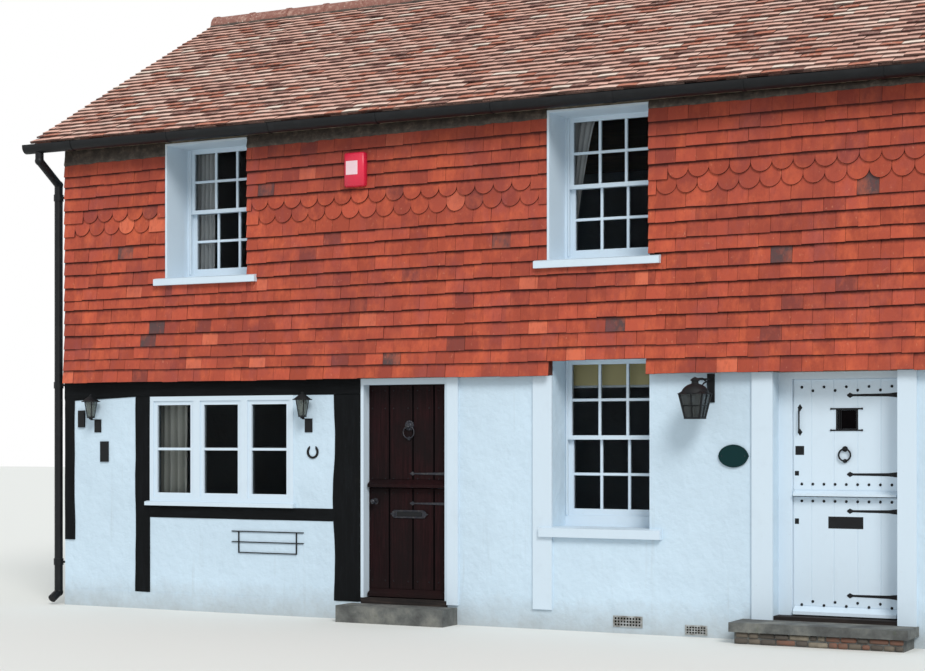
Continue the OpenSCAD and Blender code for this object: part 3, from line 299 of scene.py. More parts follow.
class Finish(Nodes):
    """A material whose colour, roughness and bump vary over the surface."""

    def __init__(self, name, roughness, tone=(255, 255, 255), specular=0.5, **constants):
        self.material = bpy.data.materials.new(name)
        self.material.use_nodes = True
        super().__init__(self.material.node_tree)
        self.tree.nodes.clear()
        self.shader = self.node("ShaderNodeBsdfPrincipled", None, {
            "Roughness": roughness, "Specular IOR Level": specular, **constants})
        self.node("ShaderNodeOutputMaterial", None, {"Surface": self.shader})
        self.place = self.node("ShaderNodeTexCoord").outputs["Object"]
        parts = self.node("ShaderNodeSeparateXYZ", None, {"Vector": self.place})
        self.x, self.z = self.number(parts, "X"), self.number(parts, "Z")
        self.bumped = None
        self.colour(tone)

    def stretched(self, stretch):
        """The place in the house, or that place stretched along the axes."""
        if stretch is None:
            return self.place
        return self.node("ShaderNodeMapping", None, {"Vector": self.place, "Scale": stretch})

    def noise(self, scale, detail=3.0, rough=0.5, stretch=None):
        return self.number(self.node("ShaderNodeTexNoise", None, {
            "Vector": self.stretched(stretch), "Scale": scale, "Detail": detail, "Roughness": rough}), "Fac")

    def cells(self, scale, feature="F1", stretch=None):
        return self.number(self.node("ShaderNodeTexVoronoi", {"feature": feature}, {
            "Vector": self.stretched(stretch), "Scale": scale}), "Distance")

    def pattern(self, given):
        """A Number as it is, or a noise from its scale, detail, roughness and stretch."""
        return self.noise(*given) if isinstance(given, tuple) else given

    def attribute(self, name):
        return self.number(self.node("ShaderNodeAttribute", {"attribute_name": name}), "Fac")

    def under_course(self, start, end):
        """How far a place lies in the shade and soot under the next course's tails."""
        up = self.attribute("along") * self.attribute("tile_length") / self.attribute("tile_show")
        ragged = self.noise(30, 3, 0.6) * 0.16 - 0.08
        return self.between(up + ragged, start, end)

    def between(self, value, low, high):
        """The share of the way that value has gone from low to high, from 0 to 1."""
        return self.number(self.node(
            "ShaderNodeMapRange", {"clamp": True},
            {"Value": value, "From Min": low, "From Max": high}), "Result")

    def colour(self, tone):
        self.tone = toned(tone)
        self.put(self.shader.inputs["Base Color"], self.tone)

    def ramp(self, value, stops, constant=False):
        """Takes the colour from (place, tone) stops."""
        made = self.node("ShaderNodeValToRGB", {"stops": list(stops)}, {"Fac": value})
        made.color_ramp.interpolation = "CONSTANT" if constant else "LINEAR"
        self.colour(made.outputs["Color"])

    def blend(self, share, tone):
        """Lays a share of a tone over the colour."""
        self.colour(self.out(self.node(
            "ShaderNodeMix", {"data_type": "RGBA"}, {"Factor": share, "A": self.tone, "B": toned(tone)})))

    def dab(self, pattern, low, high, share, tone):
        """Lays a tone over the colour where the pattern has gone from low towards high."""
        self.blend(self.between(self.pattern(pattern), low, high) * share, tone)

    def rough(self, value):
        self.put(self.shader.inputs["Roughness"], value)

    def bump(self, pattern, depth, strength=1.0):
        values = {"Height": self.pattern(pattern), "Distance": depth, "Strength": strength}
        if self.bumped is not None:
            values["Normal"] = self.bumped
        self.bumped = self.out(self.node("ShaderNodeBump", None, values))
        self.put(self.shader.inputs["Normal"], self.bumped)


def circle(count):
    """The cosine and sine of even steps round one turn."""
    return [(math.cos(2 * math.pi * i / count), math.sin(2 * math.pi * i / count)) for i in range(count)]


def shade(colour, factor):
    """The same colour, lighter or darker."""
    return tuple(min(1.0, part * factor) for part in colour[:3]) + (1.0,)


# Finishes

def limewash(name, base):
    """Lumpy limewashed render with splashed dirt at its foot."""
    made = Finish(name, 0.85, shade(base, 0.93), 0.25)
    made.dab((0.9, 4, 0.6), 0.35, 0.7, 1, shade(base, 1.03))
    made.dab((9, 5, 0.6), 0.5, 0.75, 0.25, shade(base, 0.86))
    made.dab((5, 4, 0.6, (3.0, 3.0, 0.18)), 0.62, 0.82, 0.3, (168, 176, 178))
    made.dab(made.z + made.noise(7, 4, 0.7) * 0.28, 0.42, 0.1, 0.5, (142, 132, 116))
    made.bump((2.4, 4, 0.55), 0.05, 0.6)
    made.bump((13, 5, 0.6), 0.010, 0.7)
    made.bump((90, 3, 0.6), 0.002, 0.7)
    return made.material


def painted_wood(name, base, grain, rough=0.42):
    """Old gloss paint over joinery, with faint grain and grime in places."""
    made = Finish(name, rough, base)
    made.dab((4, 4, 0.65), 0.55, 0.8, 0.35, shade(base, 0.82))
    made.dab((30, 4, 0.7), 0.66, 0.8, 0.3, (140, 140, 132))
    made.bump((24, 4, 0.6, grain), 0.0012, 0.5)
    made.bump((160, 2), 0.0004, 0.4)
    return made.material


def black_timber(name, grain):
    """Tarred oak: hewn faces, long shakes and dusty high spots."""
    base = colours().timber
    made = Finish(name, 0.72, base, 0.1)
    streak = made.noise(14, 5, 0.65, grain)
    made.dab(streak, 0.45, 0.75, 1, shade(base, 1.9))
    made.dab((3, 4, 0.6), 0.6, 0.85, 0.3, (42, 40, 36))
    made.bump(made.cells(7, "SMOOTH_F1", grain), 0.012, 0.35)
    made.bump(streak, 0.006, 0.7)
    return made.material


def stained_boards(name):
    """Dark stained boards with open grain, paler where feet and weather reach them."""
    base = colours().dark_door
    made = Finish(name, 0.6, shade(base, 0.55), 0.08)
    grain = made.noise(26, 5, 0.65, (3.0, 3.0, 0.16))
    made.dab(grain, 0.42, 0.7, 1, shade(base, 1.35))
    made.dab((2.2, 4, 0.6), 0.4, 0.66, 0.7, (20, 16, 17))
    made.dab(made.z + made.noise(12, 3) * 0.2, 0.5, 0.2, 0.3, (48, 35, 33))
    made.rough(made.between(grain, 0.3, 0.8) * 0.25 + 0.5)
    made.bump(grain, 0.0022, 0.7)
    return made.material


def hung_tile(name):
    """Handmade clay tile in brick reds, with the odd burnt or pale one, and painted shade at its edges, under
    each course's tails and towards the eaves.
    """
    made = Finish(name, 0.84, specular=0.25)
    base = colours().hung_tile
    made.ramp(made.attribute("tone"), [
        (0.0, (84, 66, 66)), (0.010, (126, 62, 54)), (0.03, (148, 66, 52)), (0.08, shade(base, 0.84)),
        (0.26, shade(base, 0.92)), (0.48, base), (0.7, shade(base, 1.07)), (0.86, shade(base, 1.16)),
        (0.965, (206, 106, 78))], True)
    grain = made.noise(34, 4, 0.65, (1.0, 1.0, 0.4))
    made.dab((7, 5, 0.65, (1.0, 1.0, 0.55)), 0.47, 0.72, 0.6, (214, 104, 68))
    # Lilac patches: a painted reflection of the sky.
    made.dab((4.5, 5, 0.7, (1.0, 1.0, 0.5)), 0.5, 0.7, 0.32, (140, 78, 84))
    made.dab((1.9, 5, 0.62), 0.46, 0.72, 0.6, (126, 60, 56))
    made.dab(grain, 0.5, 0.74, 0.4, (134, 58, 46))
    made.dab((40, 3, 0.7, (1.0, 1.0, 0.6)), 0.64, 0.8, 0.45, (226, 152, 118))
    # Painted shade from the eaves: the top 0.6 m of the hanging darkens towards the eaves.
    made.dab(made.z, HANG_HIGH - 0.6, HANG_HIGH, 0.35, (112, 46, 42))
    # Painted shade, with some soot, in a band under the next course's tails.
    made.blend(made.under_course(0.76, 0.95) * 0.86, (50, 21, 20))
    # Painted shade on the tile's back and edges.
    made.blend(made.attribute("edge") * 0.85, (62, 28, 25))
    made.bump(grain, 0.003, 0.6)
    made.bump((240, 2), 0.0008, 0.6)
    return made.material


def roof_tile(name):
    """Weathered roof tile: pink and cream faces under soot, lichen and moss, with painted shade on the tails
    and under each course.
    """
    made = Finish(name, 0.9, specular=0.2)
    base = colours().roof_tile
    made.ramp(made.attribute("tone"), [
        (0.0, (140, 98, 88)), (0.07, (186, 116, 94)), (0.22, shade(base, 0.86)), (0.42, base),
        (0.62, (224, 174, 156)), (0.8, (232, 194, 178)), (0.94, (240, 218, 202))], True)
    grit = made.noise(24, 5, 0.7)
    made.dab((1.5, 5, 0.65), 0.5, 0.74, 0.4, (136, 104, 98))
    made.dab(grit, 0.5, 0.75, 0.5, (236, 204, 186))
    lichen = made.between(made.cells(21), 0.24, 0.12) * made.between(made.noise(2.3, 3), 0.44, 0.62)
    made.blend(lichen * 0.8, (232, 222, 204))
    made.dab((6, 5, 0.7), 0.68, 0.78, 0.5, (118, 108, 72))
    # Painted shade, with some soot, down each tile from the tails above.
    made.blend(made.under_course(0.56, 0.92) * 0.9, (78, 50, 46))
    # Painted shade on the tile's back and tails.
    made.blend(made.attribute("edge") * 0.85, (52, 38, 36))
    made.bump(grit, 0.004, 0.7)
    made.bump((120, 3), 0.0012, 0.6)
    return made.material


def mottled(name, rough, specular, lumps, stops, bumps, patch=None):
    """A finish in the tones of one noise; a bump with no pattern of its own follows that noise too."""
    made = Finish(name, rough, specular=specular)
    lump = made.noise(*lumps)
    made.ramp(lump, stops)
    if patch:
        made.dab(*patch)
    for pattern, depth, strength in bumps:
        made.bump(pattern or lump, depth, strength)
    return made.material


def rough_mortar(name, *tones):
    """Rough mortar in three tones, darkest first."""
    return mottled(name, 0.92, 0.5, (14, 5, 0.7), zip((0.3, 0.52, 0.72), tones),
                   ((None, 0.012, 0.8), ((90, 3), 0.002, 0.7)))


def sawn_timber(name, *tones):
    """Bare sawn timber in three tones, darkest first."""
    return mottled(name, 0.8, 0.25, (22, 5, 0.6, (0.2, 3.0, 3.0)), zip((0.32, 0.55, 0.75), tones),
                   ((None, 0.003, 0.6),))


def black_paint(name, rough, rust):
    """Black painted iron with dust on it and a little rust."""
    made = Finish(name, rough, (15, 17, 20), 0.25)
    dust = made.noise(7, 5, 0.65)
    made.dab(dust, 0.5, 0.8, 0.4, (48, 50, 52))
    made.dab((38, 4, 0.7), 0.68, 0.8, rust, (104, 62, 42))
    made.rough(made.between(dust, 0.4, 0.8) * 0.3 + rough)
    made.bump((70, 3), 0.0012, 0.5)
    return made.material


def dark_brass(name):
    """Tarnished brass that has gone nearly black."""
    made = Finish(name, 0.45, (44, 46, 54), Metallic=0.5)
    rubbed = made.noise(40, 4, 0.6)
    made.dab(rubbed, 0.5, 0.75, 1, (86, 84, 82))
    made.bump(rubbed, 0.0006, 0.5)
    return made.material


def window_glass(name):
    """Old drawn glass with a near-black tint, painted shade of the dark room behind, yet thin enough to see
    that room through.
    """
    # The near-black tones are painted shade, darkening the panes like the unlit room behind.
    made = Finish(name, 0.06, (10, 15, 20), 0.12, IOR=1.5)
    ripple = made.noise(3.2, 3, 0.5)
    made.dab(ripple, 0.3, 0.7, 1, (22, 30, 36))
    edge = made.number(made.node("ShaderNodeFresnel", None, {"IOR": 1.45}))
    made.put(made.shader.inputs["Alpha"], made.clamp(edge * 0.8 + 0.1))
    made.bump(ripple, 0.004, 0.25)
    return made.material


def lantern_pane(name):
    """Dusty glass of a lantern, darker in the big one."""
    made = Finish(name, 0.2, (66, 74, 74))
    dust = made.noise(30, 4, 0.6)
    made.blend(dust, (120, 128, 122))
    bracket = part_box("bracket_lantern")[0].x
    made.dab(made.x, bracket - 0.2, bracket - 0.1, 0.8, (16, 20, 26))
    made.put(made.shader.inputs["Alpha"], made.between(dust, 0.3, 0.7) * 0.3 + 0.45)
    return made.material


def rubble_stone(name):
    """Flint and brick rubble set in mortar under the step."""
    made = Finish(name, 0.9)
    made.ramp(made.attribute("tone"), [
        (0.0, (70, 66, 64)), (0.3, (118, 108, 96)), (0.6, (134, 84, 66)), (0.85, (158, 148, 130))], True)
    made.blend(made.noise(30, 4), (96, 88, 78))
    made.bump((26, 4), 0.006, 0.7)
    return made.material


def green_enamel(name):
    """Dark green enamel, chipped at the rim."""
    made = Finish(name, 0.3, (8, 44, 46), 0.12)
    mark = made.noise(50, 4, 0.6)
    made.dab(mark, 0.66, 0.76, 0.5, (14, 30, 32))
    made.bump(mark, 0.0004, 0.4)
    return made.material


def faded_plastic(name, base):
    """Sun-faded plastic."""
    made = Finish(name, 0.34, base)
    made.dab((12, 4, 0.6), 0.4, 0.75, 0.35, shade(base, 0.75))
    made.bump((90, 2), 0.0004, 0.4)
    return made.material


def shadow_gap(name):
    """Painted shadow: the dark behind a grille, in air-brick holes and between boards."""
    made = Finish(name, 0.95, (7, 6, 7), 0.0)
    made.blend(made.noise(20), (15, 13, 14))
    return made.material


def curtain_cloth(name, base):
    """Loosely woven cloth with a fine cross thread, with painted shade in its folds."""
    made = Finish(name, 0.9, shade(base, 0.86), **{"Sheen Weight": 0.2})
    weave = made.noise(300, 2, 0.5, (1.0, 1.0, 0.2))
    made.dab((3, 3, 0.5), 0.3, 0.75, 1, base)
    # Painted shade in the hollows of the folds.
    made.dab(made.attribute("fold"), 0.4, 0.95, 0.75, shade(base, 0.34))
    made.blend(weave * 0.25, shade(base, 0.7))
    made.bump(weave, 0.0006, 0.4)
    return made.material


def all_finishes():
    """Every finish by name, made once."""
    recipes = {
        "limewash": (limewash, colours().render),
        "party_render": (limewash, srgb(206, 208, 204)),
        "white_paint": (painted_wood, colours().joinery, (3.0, 3.0, 0.25)),
        "white_boards": (painted_wood, srgb(205, 220, 232), (4.0, 3.0, 0.2), 0.5),
        "upright_timber": (black_timber, (2.4, 2.4, 0.35)),
        "level_timber": (black_timber, (0.35, 2.4, 2.4)),
        "stained_boards": (stained_boards,),
        "hung_tile": (hung_tile,),
        "roof_tile": (roof_tile,),
        "lime_mortar": (rough_mortar, (104, 98, 86), (138, 130, 114), (168, 158, 138)),
        # Dark mortar: soot, and painted shade for the eaves' mortar under the gutter.
        "sooty_mortar": (rough_mortar, (44, 40, 36), (72, 64, 58), (104, 94, 84)),
        "tile_bed": (mottled, 0.95, 0.5, (18, 4), [(0.35, (54, 30, 26)), (0.7, (104, 50, 40))],
                     [((60, 3), 0.002, 0.5)]),
        "sawn_timber": (sawn_timber, (92, 70, 52), (128, 98, 72), (152, 122, 92)),
        "oak_board": (sawn_timber, (24, 21, 22), (42, 36, 34), (66, 56, 50)),
        "gutter_paint": (black_paint, 0.38, 0.25),
        "black_iron": (black_paint, 0.5, 0.3),
        "dark_brass": (dark_brass,),
        "old_glass": (window_glass,),
        "lantern_pane": (lantern_pane,),
        "worn_stone": (mottled, 0.86, 0.5, (5, 6, 0.65),
                       [(0.3, (62, 62, 62)), (0.5, (92, 94, 92)), (0.7, (124, 124, 118))],
                       [(None, 0.02, 0.6), ((60, 4), 0.003, 0.6)],
                       ((9, 4, 0.7), 0.6, 0.75, 0.5, (70, 80, 52))),
        "rubble_stone": (rubble_stone,),
        "green_enamel": (green_enamel,),
        "red_plastic": (faded_plastic, srgb(214, 34, 66)),
        "pale_plastic": (faded_plastic, srgb(232, 200, 206)),
        "clay_vent": (mottled, 0.85, 0.5, (24, 4), [(0.35, (120, 118, 112)), (0.7, (176, 180, 180))],
                      [((60, 3), 0.002, 0.6)]),
        "shadow_gap": (shadow_gap,),
        "cream_cloth": (curtain_cloth, srgb(246, 250, 252)),
        "grey_cloth": (curtain_cloth, srgb(214, 218, 210)),
        "blind_cloth": (curtain_cloth, srgb(232, 222, 166)),
    }
    return {name: recipe(name, *given) for name, (recipe, *given) in recipes.items()}


FINISHES = {}


# Mesh helpers

class Shape:
    """Collects the mesh of one piece, in metres in the house's own frame."""

    def __init__(self):
        self.mesh = bmesh.new()

    def block(self, low, high, chamfer=0.0):
        """A box between two corners, with its edges taken off."""
        low, high = (Vector(map(pick, low, high)) for pick in (min, max))
        made = bmesh.ops.create_cube(self.mesh, size=1.0)["verts"]
        for corner in made:
            corner.co = (low + high) / 2 + corner.co * (high - low)
        if chamfer:
            edges = list({edge for corner in made for edge in corner.link_edges})
            bmesh.ops.bevel(
                self.mesh, geom=edges, offset=chamfer, segments=1, affect="EDGES", profile=0.5)

    def rings(self, rings, closed=False):
        """Joins rings of points with faces; the run is capped at both ends or closed on itself."""
        made = [[self.mesh.verts.new(point) for point in ring] for ring in rings]
        for lower, upper in zip(made, made[1:] + made[:1] if closed else made[1:]):
            for i in range(len(lower)):
                j = (i + 1) % len(lower)
                self.mesh.faces.new((lower[i], lower[j], upper[j], upper[i]))
        if not closed:
            self.mesh.faces.new(list(reversed(made[0])))
            self.mesh.faces.new(made[-1])

    def turned(self, profile, centre, axis, steps=24):
        """A turned shape: profile lists (radius, height along the axis)."""
        turn = Vector(axis).to_track_quat("Z", "Y")
        self.rings([[Vector(centre) + turn @ Vector((radius * cosine, radius * sine, height))
                     for cosine, sine in circle(steps)] for radius, height in profile])

    def rod(self, points, radius, sides=10):
        """A round rod along a smooth run of points, or with a radius for each point."""
        radii = radius if isinstance(radius, (list, tuple)) else [radius] * len(points)
        points = [Vector(point) for point in points]
        side = None
        rings = []
        for i, point in enumerate(points):
            ahead = (points[min(i + 1, len(points) - 1)] - points[max(i - 1, 0)]).normalized()
            if side is None:
                side = ahead.orthogonal().normalized()
            side = (side - ahead * side.dot(ahead)).normalized()
            other = ahead.cross(side)
            rings.append([point + (side * cosine + other * sine) * radii[i]
                          for cosine, sine in circle(sides)])
        self.rings(rings)

    def loop(self, points, radius, sides=8):
        """A closed ring of round bar through points that lie in one upright plane along the street."""
        side = Vector((0, 1, 0))
        rings = []
        for before, point, after in zip(points[-1:] + points, points, points[1:] + points[:1]):
            other = (Vector(after) - Vector(before)).normalized().cross(side)
            rings.append([Vector(point) + (side * cosine + other * sine) * radius
                          for cosine, sine in circle(sides)])
        self.rings(rings, True)

    def plate(self, outline, y0, y1):
        """An outline in X and Z, drawn out in depth from y0 to y1."""
        self.rings([[Vector((x, y, z)) for x, z in outline] for y in (y0, y1)])

    def object(self, name, body, finish, slot, replaces=(), smooth=35):
        """Ends the piece: one object at the origin that rides on its body."""
        bmesh.ops.recalc_face_normals(self.mesh, faces=self.mesh.faces)
        mesh = bpy.data.meshes.new(name)
        self.mesh.to_mesh(mesh)
        self.mesh.free()
        return dressed(name, mesh, body, finish, slot, replaces, smooth)


def dressed(name, mesh, body, finish, slot, replaces=(), smooth=35):
    """Links a finished mesh as a piece of the house."""
    made = bpy.data.objects.new(name, mesh)
    bpy.context.scene.collection.objects.link(made)
    mesh.materials.clear()
    mesh.materials.append(FINISHES[finish])
    for face in mesh.polygons:
        face.use_smooth = bool(smooth)
        face.material_index = 0
    if smooth:
        mesh.set_sharp_from_angle(angle=math.radians(smooth))
    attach(made, body)
    if replaces:
        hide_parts(*replaces)
    return made


def place(u, depth, z):
    """A point at u along the front and at a depth behind the wall's face."""
    return Vector((LEFT + u, FRONT + depth, z))


def at(u, y, z):
    """A point at u along the front, with Y and Z of the house's own frame."""
    return Vector((LEFT + u, y, z))


def placed(u, depth, z, side):
    """The same as place on the street side (-1), or its mirror image at the rear (1)."""
    point = place(u, depth, z)
    point.y *= -side
    return point


def number_layer(mesh, label, values, domain="POINT"):
    """Gives a mesh one named number for each point or face."""
    mesh.attributes.new(label, "FLOAT", domain).data.foreach_set("value", values)


# Geometry rules

def rule(name, inputs):
    """An empty geometry tree with these named inputs, and its Nodes."""
    tree = bpy.data.node_groups.new(name, "GeometryNodeTree")
    tree.interface.new_socket("Geometry", in_out="INPUT", socket_type="NodeSocketGeometry")
    for label, kind, value in inputs:
        socket = tree.interface.new_socket(label, in_out="INPUT", socket_type=kind)
        if value is not None:
            socket.default_value = value
    tree.interface.new_socket("Geometry", in_out="OUTPUT", socket_type="NodeSocketGeometry")
    nodes = Nodes(tree)
    given = nodes.node("NodeGroupInput")
    return tree, nodes, {socket.name: socket for socket in given.outputs if socket.name}


def close_rule(nodes, geometry, material):
    """Ends a rule: instances become real and take their finish."""
    real = nodes.node("GeometryNodeRealizeInstances", None, {"Geometry": geometry})
    painted = nodes.node("GeometryNodeSetMaterial", None, {
        "Geometry": real, "Material": material})
    nodes.node("NodeGroupOutput", None, {"Geometry": painted})


def tile_rule():
    """Lays a tile on each point, cut to that point's width and length and a little out of true."""
    tree, nodes, given = rule("Lay Tiles", [
        ("Plain Tile", "NodeSocketObject", None), ("Round Tile", "NodeSocketObject", None),
        ("Lean", "NodeSocketFloat", 0.1), ("Turn", "NodeSocketFloat", 0.01),
        ("Lift", "NodeSocketFloat", 0.001), ("Slip", "NodeSocketFloat", 0.002),
        ("Seed", "NodeSocketInt", 0), ("Finish", "NodeSocketMaterial", None)])

    def own(name):
        return nodes.out(nodes.node(
            "GeometryNodeInputNamedAttribute", {"data_type": "FLOAT"}, {"Name": name}), "Attribute")

    def chance(low, high, step):
        made = nodes.node("FunctionNodeRandomValue", {"data_type": "FLOAT"}, {
            "Min": low, "Max": high, "Seed": Number(nodes, given["Seed"]) + step})
        return nodes.number(made)

    turn, lift, slip = (Number(nodes, given[name]) for name in ("Turn", "Lift", "Slip"))
    lean = Number(nodes, given["Lean"])
    angles = nodes.node("ShaderNodeCombineXYZ", None, {
        "X": chance(-0.5, 1.0, 1) * turn - lean, "Y": chance(-1.0, 1.0, 2) * turn,
        "Z": chance(-1.0, 1.0, 3) * turn})
    shift = nodes.node("ShaderNodeCombineXYZ", None, {
        "X": 0.0, "Y": chance(-1.0, 1.0, 4) * slip, "Z": chance(-1.0, 1.0, 5) * lift})
    moved = nodes.node("GeometryNodeSetPosition", None, {
        "Geometry": given["Geometry"], "Offset": shift})
    size = nodes.node("ShaderNodeCombineXYZ", None, {
        "X": own("tile_width"), "Y": own("tile_length"), "Z": 1.0})
    laid = []
    for label, wanted in (("Plain Tile", 0.0), ("Round Tile", 1.0)):
        source = nodes.node("GeometryNodeObjectInfo", None, {"Object": given[label]})
        chosen = nodes.node(
            "FunctionNodeCompare", {"data_type": "FLOAT", "operation": "EQUAL"},
            {"A": own("tile_round"), "B": wanted})
        laid.append(nodes.out(nodes.node("GeometryNodeInstanceOnPoints", None, {
            "Points": moved, "Selection": chosen,
            "Instance": nodes.out(source, "Geometry"), "Rotation": angles,
            "Scale": size})))
    joined = nodes.node("GeometryNodeJoinGeometry")
    for part in laid:
        tree.links.new(part, joined.inputs["Geometry"])
    toned = nodes.node(
        "GeometryNodeStoreNamedAttribute", {"data_type": "FLOAT", "domain": "INSTANCE"},
        {"Geometry": joined, "Name": "tone", "Value": chance(0.0, 1.0, 6)})
    close_rule(nodes, toned, given["Finish"])
    return tree


def stud_rule():
    """Sets a domed stud on each point, facing the street."""
    tree, nodes, given = rule("Set Studs", [
        ("Radius", "NodeSocketFloat", 0.008), ("Flatness", "NodeSocketFloat", 0.6),
        ("Finish", "NodeSocketMaterial", None)])
    dome = nodes.node("GeometryNodeMeshUVSphere", None, {
        "Segments": 12, "Rings": 8, "Radius": given["Radius"]})
    size = nodes.node("ShaderNodeCombineXYZ", None, {"X": 1.0, "Y": given["Flatness"], "Z": 1.0})
    studs = nodes.node("GeometryNodeInstanceOnPoints", None, {
        "Points": given["Geometry"], "Instance": nodes.out(dome, "Mesh"), "Scale": size})
    close_rule(nodes, studs, given["Finish"])
    return tree


def point_mesh(name, points, attributes=None):
    """Loose points that carry named numbers."""
    mesh = bpy.data.meshes.new(name)
    mesh.from_pydata([tuple(point) for point in points], [], [])
    for label, values in (attributes or {}).items():
        number_layer(mesh, label, values)
    return mesh


def follow(tree, name, mesh, inputs):
    """Runs a geometry rule on a mesh and gives back the plain mesh that it makes."""
    holder = bpy.data.objects.new(name + "_start", mesh)
    bpy.context.scene.collection.objects.link(holder)
    modifier = holder.modifiers.new("Rule", "NODES")
    modifier.node_group = tree
    for item in tree.interface.items_tree:
        if item.in_out == "INPUT" and item.name in inputs:
            modifier[item.identifier] = inputs[item.name]
    graph = bpy.context.evaluated_depsgraph_get()
    made = bpy.data.meshes.new_from_object(
        holder.evaluated_get(graph), preserve_all_data_layers=True, depsgraph=graph)
    made.name = name
    holder.modifiers.clear()
    bpy.data.objects.remove(holder)
    if not made.polygons:
        raise RuntimeError(name + " came out empty")
    return made


def blank_tile(name, outline, thick, camber):
    """A tile one unit wide and long: its face at height 0, its tail at the origin."""
    mesh = bpy.data.meshes.new(name)
    shape = bmesh.new()
    face, back = ([shape.verts.new((x, y, camber * (1 - 4 * x * x) - drop)) for x, y in outline]
                  for drop in (0.0, thick))
    shape.faces.new(face)
    shape.faces.new(list(reversed(back)))
    for i in range(len(outline)):
        j = (i + 1) % len(outline)
        shape.faces.new((face[j], face[i], back[i], back[j]))
    bmesh.ops.recalc_face_normals(shape, faces=shape.faces)
    shape.to_mesh(mesh)
    shape.free()
    # Marks the back and sides with 1 in 'edge'; the tile finishes paint those faces dark as shade.
    number_layer(mesh, "edge", [0.0] + [1.0] * (len(mesh.polygons) - 1), "FACE")
    number_layer(mesh, "along", [corner.co.y for corner in mesh.vertices])
    made = bpy.data.objects.new(name, mesh)
    bpy.context.scene.collection.objects.link(made)
    return made


# The outline of a tile one unit wide and long, the share of a round tile's length that its half round takes
# up, and the share of a tile's width below which a cut tile is left out
PLAIN_OUTLINE = [(-0.5, 0.0), (0.0, 0.0), (0.5, 0.0), (0.5, 1.0), (0.0, 1.0), (-0.5, 1.0)]
ROUND_SHARE = 0.34
SLIVER = 0.3


def round_outline(steps=14):
    """A tile whose tail is a half round."""
    arc = [(-0.5 * math.cos(math.pi * i / steps), ROUND_SHARE * (1 - math.sin(math.pi * i / steps)))
           for i in range(steps + 1)]
    return arc + [(0.5, 1.0), (0.0, 1.0), (-0.5, 1.0)]


def cut_row(start, end, width, offset):
    """Tile edges along one stretch of a course, in bond, with no sliver at either end."""
    first = math.ceil((start - offset) / width + 1e-6)
    last = math.floor((end - offset) / width - 1e-6)
    edges = [start] + [offset + k * width for k in range(first, last + 1)] + [end]
    if len(edges) > 2 and edges[1] - edges[0] < width * SLIVER:
        edges.pop(1)
    if len(edges) > 2 and edges[-1] - edges[-2] < width * SLIVER:
        edges.pop(-2)
    return edges


def lay(name, points, turn, lift, slip, lean, thick, camber, finish):
    """The mesh of a field of tiles; points are (along, up, out, width, length, round, shown length)."""
    plain = blank_tile(name + "_plain", PLAIN_OUTLINE, thick, camber)
    curved = blank_tile(name + "_round", round_outline(), thick, camber)
    mesh = point_mesh(name + "_points", [point[:3] for point in points], {
        label: [point[i] for point in points]
        for i, label in enumerate(("tile_width", "tile_length", "tile_round", "tile_show"), 3)})
    made = follow(tile_rule(), name, mesh, {
        "Plain Tile": plain, "Round Tile": curved, "Lean": lean, "Turn": turn, "Lift": lift,
        "Slip": slip, "Seed": sizes().seed, "Finish": FINISHES[finish]})
    for blank in (plain, curved):
        bpy.data.objects.remove(blank)
    return made


def stood(mesh, origin, along, up, out):
    """Turns a mesh laid flat into its plane on the house."""
    turn = Matrix((along, up, out)).transposed().to_4x4()
    mesh.transform(Matrix.Translation(origin) @ turn)
    return mesh


# Tile hanging

def hung_out(course):
    """How far a course's tail stands out from the wall."""
    return HUNG_OUT + FLARE * max(0.0, 1 - course / FLARED_COURSES)


def along_line(places, u):
    """The height at u of a line through these (place, height) points."""
    for (a, low), (b, high) in zip(places, places[1:]):
        if u <= b:
            return low + (high - low) * max(0.0, u - a) / (b - a)
    return places[-1][1]


def course_tail(course, u):
    """Height of a course's tails at u."""
    return HANG_LOW + along_line(
        [(place, tails[course] / 1000) for place, tails in zip(COURSE_PLACES, COURSE_TAILS)], u)


def hung_points(openings, first, last):
    """Where every tile of one wall hangs; openings are (left, right, low, high)."""
    chance = random.Random(sizes().seed)
    width, reach = sizes().hung_width, sizes().tile_length
    points = []
    for course in range(HANG_COURSES):
        middle = course_tail(course, 4.5)
        cuts = sorted((left, right) for left, right, low, high in openings if low - 0.02 < middle < high)
        ends = [first] + [edge for cut in cuts for edge in cut] + [last]
        offset = width * (0.5 * (course % 2)) + chance.uniform(-0.012, 0.012)
        above = [hole for hole in openings if middle < hole[2] < middle + reach]
        for start, end in zip(ends[0::2], ends[1::2]):
            row = cut_row(start, end, width, offset)
            corners = {edge for hole in above for edge in hole[:2] if start < edge < end}
            edges = sorted(set(row) | corners)
            for k, (left, right) in enumerate(zip(edges, edges[1:])):
                centre = (left + right) / 2
                tail = course_tail(course, centre) + 0.0016 * math.sin(left * 2.3 + course * 1.7)
                length = min(reach, along_line(MORTAR_EDGE, centre) + 0.03 - tail)
                for open_left, open_right, low, high in above:
                    if right > open_left + 0.001 and left < open_right - 0.001:
                        length = min(length, low - tail + 0.004)
                whole = abs(right - left - width) < 0.002 and 0 < k < len(edges) - 2
                near = left + (0.0 if left in corners else TILE_GAP)
                far = right - (0.0 if right in corners else TILE_GAP)
                shown = UNSHADED
                if course < HANG_COURSES - 1 and course + 1 not in ROUND_COURSES:
                    shown = course_tail(course + 1, centre) - tail
                if length > 0.03:
                    points.append(((near + far) / 2, tail, hung_out(course), far - near, length,
                                   float(whole and course in ROUND_COURSES), shown))
    return points


def window_cuts(side):
    """Openings in the tile hanging: windows, their sills and the notches over ground windows."""
    cuts = []
    for left in UPPER_WINDOWS:
        cuts.append((left, left + UPPER_WIDTH, UPPER_SILL_TOP, UPPER_HEAD))
        cuts.append((left - SILL_HORN, left + UPPER_WIDTH + SILL_HORN, UPPER_SILL, UPPER_SILL_TOP - 0.03))
    for left in GROUND_WINDOWS[side]:
        cuts.append((left, left + LOWER_WIDTH, 0.0, HANG_LOW + 0.05))
    if side > 0:
        cuts = [(LENGTH - right, LENGTH - left, low, high) for left, right, low, high in cuts]
    return cuts


